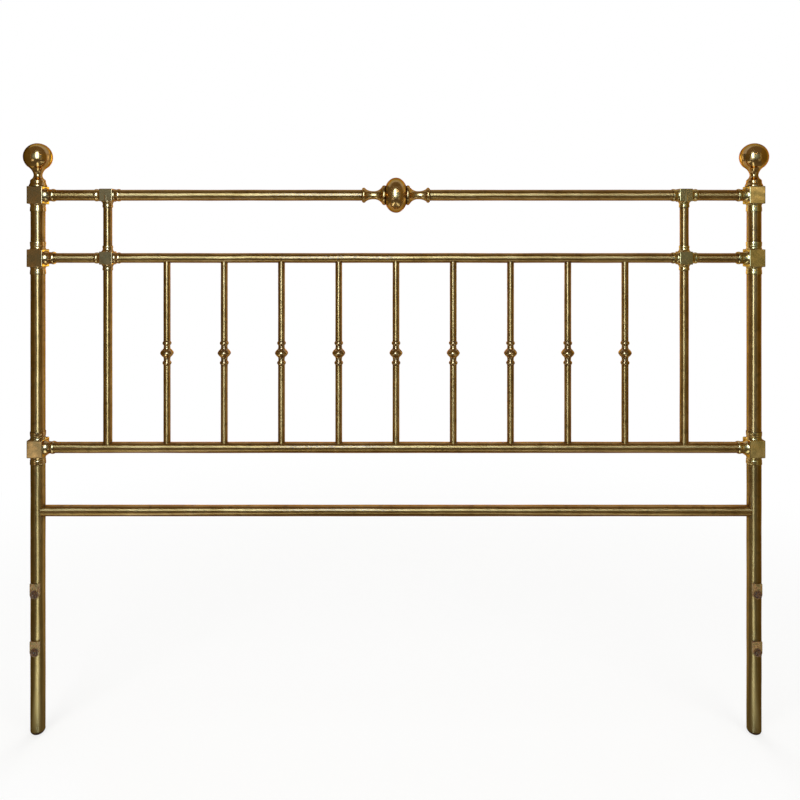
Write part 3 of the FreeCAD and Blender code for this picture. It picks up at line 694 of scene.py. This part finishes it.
@dataclass
class DrawnTube:
    """One length of tube, hollow, as the CAD node that it stands for but with a hand-worked skin."""

    node: str
    wall: float
    material: bpy.types.Material
    slot: str
    dents: tuple[Dent, ...] = ()
    holes: tuple[Hole, ...] = ()
    ring_spacing: float = 7 * MM
    sides: int = 48
    drill_sides: int = 40
    end_break: float = 0.3 * MM
    waviness: float = 0.09 * MM
    wave_count: int = 7
    longest_wave: float = 0.42
    full_height_wave: float = 0.15
    shortest_wave: float = 0.06
    least_height_share: float = 0.4
    lobe_choices: tuple[int, ...] = (1, 2, 2, 3)
    waves: list[tuple[float, float, int, float, float]] = field(default_factory=list)

    def __post_init__(self) -> None:
        """Draw the waves of this tube's skin from its own name."""
        draw = random.Random(self.node)
        for _ in range(self.wave_count):
            lobes = draw.choice(self.lobe_choices)
            length = draw.uniform(self.shortest_wave, self.longest_wave)
            height_share = draw.uniform(self.least_height_share, 1.0)
            height = self.waviness * height_share * min(1.0, length / self.full_height_wave)
            self.waves.append(
                (height, length, lobes, draw.uniform(0, math.tau), draw.uniform(0, math.tau))
            )

    def relief(self, along: np.ndarray, angle: np.ndarray) -> np.ndarray:
        """Work out how far the skin stands off a true cylinder.

        Args:
            along: Places along the tube.
            angle: Places round the tube.

        Returns:
            The difference in radius at each place.
        """
        total = along * angle * 0
        for height, length, lobes, start, turn in self.waves:
            wave = np.sin(math.tau * along / length + start)
            total = total + height * wave * np.cos(lobes * angle + turn)
        for dent in self.dents:
            total = total + dent.relief(along, angle)
        return total

    def skin(self, start: float, end: float, radius: float) -> Revolved:
        """Return the tube's walls, from its start to its end along z.

        Args:
            start: Where the tube starts.
            end: Where it ends.
            radius: Its outer radius.

        Returns:
            The walls, closed at both ends.
        """
        inside = radius - self.wall
        steps = max(2, round((end - start) / self.ring_spacing))
        body = np.linspace(start + self.end_break, end - self.end_break, steps + 1)
        outline = [(inside, end), (inside, start), (radius - self.end_break, start)]
        outline += [(radius, float(along)) for along in body]
        outline += [(radius - self.end_break, end)]
        return Revolved(outline, self.sides, self.relief)

    def drilled(self, piece: bpy.types.Object) -> None:
        """Drill the tube's holes through its wall.

        Args:
            piece: The tube, its place in its mesh.
        """
        cutters = []
        for hole in self.holes:
            bpy.ops.mesh.primitive_cylinder_add(
                vertices=self.drill_sides, radius=hole.radius, depth=hole.length, location=hole.middle,
                rotation=hole.way.to_track_quat("Z", "Y").to_euler())
            cutters.append(bpy.context.object)
        for cutter in cutters:
            cut = piece.modifiers.new(cutter.name, "BOOLEAN")
            cut.operation, cut.solver, cut.object = "DIFFERENCE", "EXACT", cutter
        graph = bpy.context.evaluated_depsgraph_get()
        drilled = bpy.data.meshes.new_from_object(piece.evaluated_get(graph))
        drilled.set_sharp_from_angle(angle=SHARP_FROM)
        piece.modifiers.clear()
        piece.data = drilled
        for cutter in cutters:
            bpy.data.objects.remove(cutter)

    def build(self) -> None:
        """Make the tube and set it in its node's place."""
        low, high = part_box(self.node)
        size = high - low
        run = Run.CROSSWISE if size.x > size.z else Run.UPRIGHT
        middle = (low + high) / 2
        if run is Run.UPRIGHT:
            surface = self.skin(low.z, high.z, size.x / 2)
            points = surface.points() + np.array([middle.x, middle.y, 0])
        else:
            surface = self.skin(low.x, high.x, size.z / 2)
            points = surface.points()[:, [2, 0, 1]] + np.array([0, middle.y, middle.z])
        piece = mesh_object(f"{self.node}_drawn", points, surface.faces())
        if self.holes:
            self.drilled(piece)
        take_part(piece, self.material, self.slot, self.node)


class PatternTree:
    """Geometry Nodes that set a pattern piece in columns and rows, each copy turned at random."""

    def __init__(self) -> None:
        """Build the tree and note its inputs' identifiers."""
        self.tree = bpy.data.node_groups.new("set_in_rows", "GeometryNodeTree")
        self.sockets: dict[str, str] = {}
        sockets = (
            ("Pattern", "NodeSocketObject"), ("Columns", "NodeSocketInt"), ("Rows", "NodeSocketInt"),
            ("First Place", "NodeSocketVector"), ("Column Step", "NodeSocketVector"),
            ("Row Step", "NodeSocketVector"), ("Most Turn", "NodeSocketVector"),
            ("Seed", "NodeSocketInt"), ("Finish", "NodeSocketMaterial"),
        )
        for name, kind in sockets:
            socket = self.tree.interface.new_socket(name, in_out="INPUT", socket_type=kind)
            self.sockets[name] = socket.identifier
        self.tree.interface.new_socket("Geometry", in_out="OUTPUT", socket_type="NodeSocketGeometry")
        self._fill()

    def _fill(self) -> None:
        """Add the tree's nodes."""
        tree = self.tree
        given = add_node(tree, "NodeGroupInput").outputs
        columns = add_node(tree, "GeometryNodeMeshLine", inputs={
            "Count": given["Columns"], "Start Location": given["First Place"],
            "Offset": given["Column Step"]})
        rows = add_node(tree, "GeometryNodeMeshLine", inputs={
            "Count": given["Rows"], "Offset": given["Row Step"]})
        lines = add_node(tree, "GeometryNodeInstanceOnPoints", inputs={
            "Points": columns, "Instance": rows})
        places = add_node(tree, "GeometryNodeRealizeInstances", inputs={"Geometry": lines})
        pattern = add_node(tree, "GeometryNodeObjectInfo", inputs={"Object": given["Pattern"]})
        turn = add_node(tree, "FunctionNodeRandomValue", {"data_type": "FLOAT_VECTOR"}, {
            "Max": given["Most Turn"], "Seed": given["Seed"]})
        copies = add_node(tree, "GeometryNodeInstanceOnPoints", inputs={
            "Points": places, "Instance": pattern.outputs["Geometry"], "Rotation": turn})
        solid = add_node(tree, "GeometryNodeRealizeInstances", inputs={"Geometry": copies})
        finished = add_node(tree, "GeometryNodeSetMaterial", inputs={
            "Geometry": solid, "Material": given["Finish"]})
        add_node(tree, "NodeGroupOutput", inputs={0: finished})

    def build(self, name: str, values: dict[str, Any]) -> bpy.types.Object:
        """Set a pattern piece in its rows and return one plain mesh.

        Args:
            name: The new object's name.
            values: A value for each input of the tree, by its name.

        Returns:
            The object, with no modifier left on it.
        """
        holder = linked(f"{name}_rows", bpy.data.meshes.new(f"{name}_rows"))
        modifier = holder.modifiers.new("rows", "NODES")
        modifier.node_group = self.tree
        for key, value in values.items():
            modifier[self.sockets[key]] = value
        graph = bpy.context.evaluated_depsgraph_get()
        mesh = bpy.data.meshes.new_from_object(holder.evaluated_get(graph))
        mesh.name = name
        holder.modifiers.remove(modifier)
        bpy.data.objects.remove(holder)
        bpy.data.objects.remove(values["Pattern"])
        return linked(name, mesh)


def bolt_heights(post_x: float) -> tuple[float, float]:
    """Return how high the lower and the upper frame bolts sit, read from their washers.

    Args:
        post_x: How far a post stands from the middle.

    Returns:
        The two heights.
    """
    low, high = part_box("frame_bolt_washers")
    washer_radius = high.x - post_x
    return low.z + washer_radius, high.z - washer_radius


@dataclass
class Post:
    """One post: leg, middle and upper tubes, three corner castings, ball finial and foot glide."""

    side: Side
    finishes: Finishes
    wall: float = 1.5 * MM
    bolt_hole: float = 4.25 * MM
    rail_play: float = 0.1 * MM
    leg_waviness: float = 0.14 * MM

    def leg_holes(self) -> tuple[Hole, ...]:
        """Place the holes in the leg.

        Returns:
            One hole for the base rail and two for the frame bolts.
        """
        low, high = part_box(f"{self.side.value}_post_lower_tube")
        middle_x, width = (low.x + high.x) / 2, high.x - low.x
        rail_low, rail_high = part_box("base_rail")
        inward = Vector((-math.copysign(1, middle_x), 0, 0))
        rail_middle = Vector((middle_x, 0, (rail_low.z + rail_high.z) / 2)) + inward * width / 2
        rail_radius = (rail_high.z - rail_low.z) / 2 + self.rail_play
        holes = [Hole(rail_middle, inward, rail_radius, width / 2)]
        for height in bolt_heights(abs(middle_x)):
            holes.append(
                Hole(Vector((middle_x, 0, height)), Vector((0, 1, 0)), self.bolt_hole, width * 2)
            )
        return tuple(holes)

    def build(self) -> None:
        """Build the post's tubes and dress its other pieces."""
        side = self.side.value
        DrawnTube(
            f"{side}_post_lower_tube", self.wall, self.finishes.leg_tube, "leg_brass",
            holes=self.leg_holes(), waviness=self.leg_waviness,
        ).build()
        for name in ("middle", "upper"):
            DrawnTube(
                f"{side}_post_{name}_tube", self.wall, self.finishes.upright_tube, "tube_brass"
            ).build()
        for name in ("lower", "middle", "top"):
            dress(f"{side}_{name}_corner_block", self.finishes.cast[self.side])
        dress(f"{side}_ball_finial", self.finishes.ball)
        dress(f"{side}_foot_glide", self.finishes.glide)
        dress(f"{side}_tie_rod", self.finishes.zinced)
        dress(f"{side}_tie_rod_anchor", self.finishes.zinced)


@dataclass
class Stile:
    """One stile: two tubes between the lower, second and top rails, with a cross and a tee."""

    side: Side
    finishes: Finishes
    wall: float = 1.0 * MM
    sides: int = 40

    def build(self) -> None:
        """Build the stile's tubes and dress its castings."""
        side = self.side.value
        for name in ("lower", "upper"):
            DrawnTube(
                f"{side}_stile_{name}_tube", self.wall, self.finishes.upright_tube, "tube_brass",
                sides=self.sides,
            ).build()
        dress(f"{side}_tee_block", self.finishes.cast[self.side])
        dress(f"{side}_cross_block", self.finishes.cast[self.side])


@dataclass
class Rails:
    """The top, second, lower and base rails, drilled where spindles and stiles enter."""

    finishes: Finishes
    wall: float = 1.2 * MM
    play: float = 0.1 * MM
    drill_share: float = 1.6
    knock_from_end: float = 0.06
    knock_length: float = 0.035
    knock_depth: float = 0.9 * MM

    def holes_for(self, rail: str, uprights: Iterable[str], from_above: bool) -> tuple[Hole, ...]:
        """Return the holes that a rail's uprights need.

        Args:
            rail: The rail's node.
            uprights: Nodes of the tubes that enter it.
            from_above: Whether they enter the rail's upper side.

        Returns:
            One hole for each upright.
        """
        low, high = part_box(rail)
        radius = (high.z - low.z) / 2
        wall_height = high.z if from_above else low.z
        holes = []
        for upright in uprights:
            tube_low, tube_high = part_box(upright)
            middle = Vector(((tube_low.x + tube_high.x) / 2, 0, wall_height))
            tube_radius = (tube_high.x - tube_low.x) / 2 + self.play
            holes.append(Hole(middle, Vector((0, 0, 1)), tube_radius, radius * self.drill_share))
        return tuple(holes)

    def build(self) -> None:
        """Build every length of rail."""
        cross = self.finishes.cross_tube
        spindles = [f"spindle_{number}_tubes" for number in SPINDLE_NUMBERS]
        stiles = [f"{side.value}_stile_lower_tube" for side in Side]
        low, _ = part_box("lower_rail")
        knock = Dent(low.x + self.knock_from_end, math.pi, self.knock_length, self.knock_depth)
        DrawnTube(
            "lower_rail", self.wall, cross, "tube_brass", dents=(knock,),
            holes=self.holes_for("lower_rail", spindles + stiles, True),
        ).build()
        DrawnTube(
            "second_rail_span", self.wall, cross, "tube_brass",
            holes=self.holes_for("second_rail_span", spindles, False),
        ).build()
        for node in (
            "top_rail_left_end", "top_rail_left_span", "top_rail_right_span", "top_rail_right_end",
            "second_rail_left_end", "second_rail_right_end", "base_rail",
        ):
            DrawnTube(node, self.wall, cross, "tube_brass").build()
        dress("centre_ornament", self.finishes.ornament)


@dataclass
class SpindleRow:
    """Nine spindles: thin tubes below and above a turned knop."""

    finishes: Finishes
    rows: PatternTree
    wall: float = 1.0 * MM
    knop_spigot: float = 12 * MM
    waviness: float = 0.07 * MM
    sides: int = 32
    seed: int = 3

    def build(self) -> None:
        """Build the tubes of all the spindles as one mesh and dress the knops."""
        nodes = [f"spindle_{number}_tubes" for number in SPINDLE_NUMBERS]
        low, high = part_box(nodes[0])
        knop_low, knop_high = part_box("spindle_1_knop")
        last_low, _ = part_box(nodes[-1])
        radius = (high.x - low.x) / 2
        tube = DrawnTube(
            nodes[0], self.wall, self.finishes.upright_tube, "tube_brass",
            sides=self.sides, waviness=self.waviness)
        lower = tube.skin(low.z, knop_low.z + self.knop_spigot, radius)
        upper = tube.skin(knop_high.z - self.knop_spigot, high.z, radius)
        lower_points = lower.points()
        points = np.vstack([lower_points, upper.points()])
        faces = lower.faces() + [
            tuple(corner + len(lower_points) for corner in face) for face in upper.faces()
        ]
        pattern = mesh_object("spindle_pattern", points, faces)
        pitch = (last_low.x - low.x) / (len(nodes) - 1)
        piece = self.rows.build("spindle_tubes_drawn", {
            "Pattern": pattern, "Columns": len(nodes), "Rows": 1,
            "First Place": (low.x + radius, 0.0, 0.0), "Column Step": (pitch, 0.0, 0.0),
            "Row Step": (0.0, 0.0, 1.0), "Most Turn": (0.0, 0.0, math.tau),
            "Seed": self.seed, "Finish": self.finishes.upright_tube,
        })
        take_part(piece, self.finishes.upright_tube, "tube_brass", *nodes)
        for number in SPINDLE_NUMBERS:
            dress(f"spindle_{number}_knop", self.finishes.knop)


@dataclass
class FrameBolts:
    """Four bolts through the legs, with saddles, washers and nuts at the front."""

    finishes: Finishes
    rows: PatternTree
    shank_radius: float = 4 * MM
    head_radius: float = 9 * MM
    head_height: float = 5 * MM
    head_edge: float = 1.2 * MM
    crown_steps: int = 10
    pole_radius: float = 0.05 * MM
    thread_pitch: float = 1.25 * MM
    thread_depth: float = 0.6 * MM
    thread_length: float = 24 * MM
    thread_undersize: float = 0.3 * MM
    ring_spacing: float = 0.16 * MM
    tip_chamfer: float = 1 * MM
    sides: int = 24
    seed: int = 11

    def thread(self, along: np.ndarray, angle: np.ndarray) -> np.ndarray:
        """Return the depth of the thread's groove at each place.

        Args:
            along: Distance from the stud's tip.
            angle: Place round the axis.

        Returns:
            A negative radius inside the groove.
        """
        turns = along / self.thread_pitch - angle / math.tau
        ridge = np.abs((turns % 1.0) * 2 - 1)
        faded = np.clip((self.thread_length - along) / self.thread_pitch, 0, 1)
        on_tip = np.clip((along - self.tip_chamfer) / self.tip_chamfer, 0, 1)
        return -self.thread_depth * (1 - ridge) * faded * on_tip

    def outline(self, length: float, stud_radius: float) -> list[tuple[float, float]]:
        """Return the bolt's outline from the tip of its stud to the crown of its head.

        Args:
            length: From the stud's tip to the crown.
            stud_radius: Radius of the threaded end.

        Returns:
            Points of radius and distance from the tip.
        """
        under_head = length - self.head_height
        rim = under_head + self.head_edge
        tip = stud_radius - self.tip_chamfer
        points = [(self.pole_radius, 0.0), (tip, 0.0)]
        steps = round(self.thread_length / self.ring_spacing)
        for step in range(1, steps + 1):
            along = self.thread_length * step / steps
            points.append((min(stud_radius, tip + along), along))
        points += [(self.shank_radius, self.thread_length + self.thread_pitch)]
        points += [(self.shank_radius, under_head), (self.head_radius, under_head)]
        points += [(self.head_radius, rim)]
        for step in range(1, self.crown_steps):
            turn = math.pi / 2 * step / self.crown_steps
            points.append((self.head_radius * math.cos(turn), rim + (length - rim) * math.sin(turn)))
        points.append((self.pole_radius, length))
        return points

    def build(self) -> None:
        """Build the four bolts as one mesh and dress the other fasteners."""
        low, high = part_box("frame_bolts")
        leg_low, leg_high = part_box("right_post_lower_tube")
        post_x = (leg_low.x + leg_high.x) / 2
        lowest, highest = bolt_heights(post_x)
        stud_radius = self.shank_radius - self.thread_undersize
        bolt = Revolved(self.outline(high.y - low.y, stud_radius), self.sides, self.thread)
        points = bolt.points()[:, [1, 2, 0]] + np.array([0, low.y, 0])
        pattern = mesh_object("bolt_pattern", points, bolt.faces())
        piece = self.rows.build("frame_bolts_threaded", {
            "Pattern": pattern, "Columns": 2, "Rows": 2,
            "First Place": (-post_x, 0.0, lowest), "Column Step": (post_x * 2, 0.0, 0.0),
            "Row Step": (0.0, 0.0, highest - lowest), "Most Turn": (0.0, math.tau, 0.0),
            "Seed": self.seed, "Finish": self.finishes.rusted,
        })
        take_part(piece, self.finishes.rusted, "rusty_steel", "frame_bolts")
        dress("frame_bolt_saddles", self.finishes.saddle)
        dress("frame_bolt_washers", self.finishes.rusted)
        dress("frame_bolt_nuts", self.finishes.rusted)


@dataclass(frozen=True)
class Card:
    """A flat glowing card that only reflections see, such as a studio's flag or softbox.

    One of its three measures is 0. It can glow evenly, or fade from its middle to its edges, and
    a lying card's far edge can be shifted sideways.
    """

    name: str
    corner: tuple[float, float, float]
    size: tuple[float, float, float]
    glow: tuple[float, float, float]
    edge_glow: tuple[float, float, float] | None = None
    core_share: float = 0.0
    shift: float = 0.0

    def build(self) -> None:
        """Make the card and hide it from everything but reflections."""
        first, second = [axis for axis in range(3) if self.size[axis] > 0]
        corner, across, up = Vector(self.corner), Vector((0, 0, 0)), Vector((self.shift, 0, 0))
        across[first], up[second] = self.size[first], self.size[second]
        mesh = bpy.data.meshes.new(self.name)
        mesh.from_pydata([corner, corner + across, corner + across + up, corner + up], [], [(0, 1, 2, 3)])
        place = mesh.uv_layers.new(name="card")
        for loop, uv in zip(place.data, ((-1, -1), (1, -1), (1, 1), (-1, 1))):
            loop.uv = uv
        made = linked(self.name, mesh)
        mesh.materials.append(self._glowing())
        made.visible_camera = False
        made.visible_diffuse = False
        made.visible_shadow = False
        made.visible_transmission = False
        made.visible_volume_scatter = False

    def _glowing(self) -> bpy.types.Material:
        """Make the card's glow.

        Returns:
            The card's material.
        """
        material, tree, _ = new_material(f"{self.name}_glow")
        place = add_node(tree, "ShaderNodeUVMap", {"uv_map": "card"})
        split = add_node(tree, "ShaderNodeSeparateXYZ", inputs={"Vector": place})
        fades = []
        for axis in ("X", "Y"):
            away = add_node(tree, "ShaderNodeMath", {"operation": "ABSOLUTE"}, {0: split.outputs[axis]})
            fades.append(add_node(tree, "ShaderNodeMapRange", {"interpolation_type": "SMOOTHSTEP"}, {
                "Value": away, "From Min": self.core_share, "From Max": 1.0,
                "To Min": 1.0, "To Max": 0.0}))
        share = add_node(tree, "ShaderNodeMath", {"operation": "MULTIPLY"}, {0: fades[0], 1: fades[1]})
        colour = add_node(tree, "ShaderNodeMix", {"data_type": "RGBA", "clamp_result": False}, {
            "Factor": share, "A": (*(self.edge_glow or self.glow), 1.0), "B": (*self.glow, 1.0)})
        glow = add_node(tree, "ShaderNodeEmission", inputs={"Color": colour, "Strength": 1.0})
        add_node(tree, "ShaderNodeOutputMaterial", inputs={"Surface": glow})
        return material


@dataclass
class Studio:
    """Pale floor, white backdrop, soft lamps, cards for the reflections, and the camera."""

    camera_place: tuple[float, float, float] = (0.0, -1.88, 1.264)
    lens_mm: float = 33.17
    sensor_mm: float = 36.0
    lens_shift: tuple[float, float] = (0.005, -0.204)
    floor_radius: float = 9.0
    floor_sides: int = 96
    floor_colour: str = "#f3f2ee"
    shadow_fades_from: float = 0.9
    shadow_gone_at: float = 2.6
    ambient: float = 0.55
    lamp_aim: tuple[float, float, float] = (0.0, 0.0, 0.8)
    room_half: float = 2.3
    room_front: float = -3.3
    room_back: float = 0.12
    behind_depth: float = 3.0
    room_top: float = 2.9
    card_gap: float = 0.01
    sheet: float = 0.002
    front_glow: tuple[float, float, float] = (0.12, 0.15, 0.16)
    left_behind_glow: tuple[float, float, float] = (0.12, 0.14, 0.2)
    right_behind_glow: tuple[float, float, float] = (0.48, 0.55, 0.76)

    def walls(self) -> tuple[Card, ...]:
        """Put a dim room round the headboard: olive walls, paler corners, blue-grey behind.

        Returns:
            The cards.
        """
        half, front, back, top = self.room_half, self.room_front, self.room_back, self.room_top
        wide, deep, behind, gap = half * 2, back - front, self.behind_depth, self.card_gap
        corner, recess, off_floor = (half * 0.3, 0.0, top), (0.0, 1.0, top), 0.1
        return (
            Card("left_wall", (-half, front, 0.0), (0.0, deep, top), (0.16, 0.155, 0.09)),
            Card("right_wall", (half, front, 0.0), (0.0, deep, top), (0.22, 0.2, 0.09)),
            Card("left_screen", (-half, back, 0.0), (0.0, behind, top), self.left_behind_glow),
            Card("right_screen", (half, back, 0.0), (0.0, behind, top), self.right_behind_glow),
            Card("front_wall", (-half, front, 0.0), (wide, 0.0, top), self.front_glow),
            Card("left_corner", (-half, front, off_floor), corner, (0.56, 0.48, 0.34)),
            Card("left_recess", (gap - half, front, off_floor), recess, (0.62, 0.52, 0.55)),
            Card("right_corner", (half * 0.7, front, off_floor), corner, (0.85, 0.68, 0.36)),
            Card("right_recess", (half - gap, front, off_floor), recess, (0.5, 0.6, 0.6)),
            Card("ceiling", (-half, front, top), (wide, deep, 0.0), (0.2, 0.2, 0.2)),
            Card("back_ceiling", (-half, back, top), (wide, 1.6, 0.0), (0.55, 0.75, 1.6)),
        )

    def floor_cards(self) -> tuple[Card, ...]:
        """Lay what the lower tubes mirror: dark ground, two rugs, a bluer floor behind.

        Returns:
            The cards.
        """
        half, front, sheet = self.room_half, self.room_front, self.sheet
        wide, rug = half * 2, (0.9, 1.4, 0.0)
        return (
            Card("ground", (-half, front, sheet * 2), (wide, 3.5, 0.0), (0.12, 0.13, 0.16)),
            Card("near_ground", (-half, -0.75, sheet * 3), (wide, 0.95, 0.0), (0.16, 0.18, 0.22)),
            Card("left_rug", (-half, front, sheet * 4), rug, (1.2, 1.6, 2.7)),
            Card("right_rug", (half - rug[0], front, sheet * 4), rug, (0.45, 0.6, 0.9)),
            Card("far_ground", (-half, 0.2, sheet * 2), (wide, 1.8, 0.0), (0.55, 0.65, 1.0)),
        )

    def lights_in_room(self) -> tuple[Card, ...]:
        """Set the bright shapes that make the highlights: windows, doors, sun patches, lamps.

        The window draws the cream stripe down each upright and the spot on each ball. The doors
        and back windows light the edges of the tubes, and the patches the stripe down each leg.

        Returns:
            The cards.
        """
        half, gap, door_high = self.room_half, self.card_gap * 2, 2.4
        behind = self.room_back + self.behind_depth
        before_back, back_edge = behind - 0.1, (0.7, 0.8, 1.05)
        patch_size, patch_edge = (0.34, 1.16, 0.0), (0.16, 0.18, 0.22)
        patch_front, patch_height = -1.15, self.sheet * 5
        return (
            Card("lit_curtain", (-2.1, -2.2, 0.55), (4.0, 0.0, 2.1),
                 (0.5, 0.98, 2.5), self.front_glow, 0.25),
            Card("back_wall", (-half, behind, 0.0), (half * 2, 0.0, self.room_top),
                 (0.9, 1.0, 1.3), (0.25, 0.28, 0.36), 0.1),
            Card("left_door", (gap - half, 1.4, 0.2), (0.0, 1.1, door_high),
                 (1.6, 1.9, 2.8), self.left_behind_glow, 0.3),
            Card("right_door", (half - gap, 0.7, 0.2), (0.0, 0.9, door_high),
                 (1.8, 2.1, 2.9), self.right_behind_glow, 0.3),
            Card("back_window", (0.3, before_back, 0.3), (0.6, 0.0, 2.3), (4.8, 5.9, 9.0), back_edge, 0.4),
            Card("back_panel", (-1.7, before_back, 0.3), (1.0, 0.0, 2.3), (3.2, 3.8, 5.6), back_edge, 0.4),
            Card("window", (-0.72, -1.75, 0.85), (0.8, 0.0, 2.0),
                 (9.0, 16.5, 42.0), (0.45, 0.88, 2.2), 0.5),
            Card("left_patch", (-0.69, patch_front, patch_height), patch_size,
                 (2.9, 4.3, 7.5), patch_edge, 0.5, -0.39),
            Card("right_patch", (-0.06, patch_front, patch_height), patch_size,
                 (2.1, 3.1, 5.4), patch_edge, 0.5, 0.81),
            Card("glint", (half - gap, -3.05, 1.5), (0.0, 0.45, 0.45),
                 (3.4, 4.0, 5.5), (0.5, 0.6, 0.6), 0.4),
            Card("small_lamp", (0.62, -1.75, 2.1), (0.16, 0.0, 0.16),
                 (22.0, 22.0, 21.0), (6.0, 6.0, 6.0), 0.3),
        )

    def world(self) -> None:
        """Light evenly from all round, and show plain white to the eye and in the metal."""
        world = bpy.data.worlds.new("studio")
        bpy.context.scene.world = world
        world.use_nodes = True
        tree = world.node_tree
        tree.nodes.clear()
        rays = add_node(tree, "ShaderNodeLightPath").outputs
        seen = add_node(tree, "ShaderNodeMath", {"operation": "ADD"}, {
            0: rays["Is Camera Ray"], 1: rays["Is Glossy Ray"]})
        seen = add_node(tree, "ShaderNodeMath", {"operation": "ADD", "use_clamp": True}, {
            0: seen, 1: rays["Is Transmission Ray"]})
        strength = add_node(tree, "ShaderNodeMapRange", inputs={
            "Value": seen, "To Min": self.ambient, "To Max": 1.0})
        glow = add_node(tree, "ShaderNodeBackground", inputs={
            "Color": linear("#ffffff"), "Strength": strength})
        add_node(tree, "ShaderNodeOutputWorld", inputs={"Surface": glow})

    def floor(self) -> None:
        """Lay a pale floor that keeps a soft shadow and melts into the backdrop."""
        radius = self.floor_radius
        turns = [math.tau * side / self.floor_sides for side in range(self.floor_sides)]
        ring = [(radius * math.cos(turn), radius * math.sin(turn), 0.0) for turn in turns]
        mesh = bpy.data.meshes.new("floor")
        mesh.from_pydata(ring, [], [tuple(range(self.floor_sides))])
        made = linked("floor", mesh)
        material, tree, place = new_material("pale_matt_floor")
        paint = add_node(tree, "ShaderNodeBsdfPrincipled", inputs={
            "Base Color": linear(self.floor_colour), "Roughness": 0.9, "Specular IOR Level": 0.1})
        white = add_node(tree, "ShaderNodeEmission", inputs={"Color": linear("#ffffff"), "Strength": 1.0})
        distance = add_node(tree, "ShaderNodeVectorMath", {"operation": "LENGTH"}, {0: place})
        far = add_node(tree, "ShaderNodeMapRange", {"interpolation_type": "SMOOTHSTEP"}, {
            "Value": distance.outputs["Value"], "From Min": self.shadow_fades_from,
            "From Max": self.shadow_gone_at, "To Min": 0.72, "To Max": 1.0})
        rays = add_node(tree, "ShaderNodeLightPath").outputs
        share = add_node(tree, "ShaderNodeMath", {"operation": "MULTIPLY"}, {
            0: far, 1: rays["Is Camera Ray"]})
        both = add_node(tree, "ShaderNodeMixShader", inputs={0: share, 1: paint, 2: white})
        add_node(tree, "ShaderNodeOutputMaterial", inputs={"Surface": both})
        mesh.materials.append(material)

    def lamps(self) -> None:
        """Hang two large soft lamps in front and one behind."""
        lamps = (
            ("key_lamp", (-1.6, -2.6, 2.6), 1.8, 55.0),
            ("fill_lamp", (2.0, -2.4, 1.8), 1.8, 35.0),
            ("back_lamp", (0.0, 2.6, 2.8), 2.0, 35.0),
        )
        for name, place, size, power in lamps:
            light = bpy.data.lights.new(name, "AREA")
            light.shape, light.size, light.energy = "SQUARE", size, power
            made = linked(name, light)
            made.location = place
            made.rotation_mode = "QUATERNION"
            made.rotation_quaternion = (Vector(self.lamp_aim) - Vector(place)).to_track_quat("-Z", "Y")
            made.visible_glossy = False

    def camera(self) -> None:
        """Set the camera where the photograph was taken from, level and square to the headboard."""
        data = bpy.data.cameras.new("camera")
        data.lens, data.sensor_width, data.sensor_fit = self.lens_mm, self.sensor_mm, "HORIZONTAL"
        data.shift_x, data.shift_y = self.lens_shift
        data.clip_start, data.clip_end = 0.05, 100.0
        made = linked("camera", data)
        made.location = self.camera_place
        made.rotation_euler = (math.pi / 2, 0.0, 0.0)
        bpy.context.scene.camera = made

    def build(self) -> None:
        """Build the whole studio."""
        bpy.context.scene.view_settings.view_transform = "Standard"
        self.world()
        self.floor()
        self.lamps()
        for card in self.walls() + self.floor_cards() + self.lights_in_room():
            card.build()
        self.camera()


def main() -> None:
    """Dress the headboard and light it."""
    logging.basicConfig(level=logging.INFO, format="%(name)s %(message)s")
    Studio().build()
    finishes = Finishes()
    rows = PatternTree()
    for side in Side:
        Post(side, finishes).build()
        Stile(side, finishes).build()
    Rails(finishes).build()
    SpindleRow(finishes, rows).build()
    FrameBolts(finishes, rows).build()


if __name__ == "__main__":
    main()
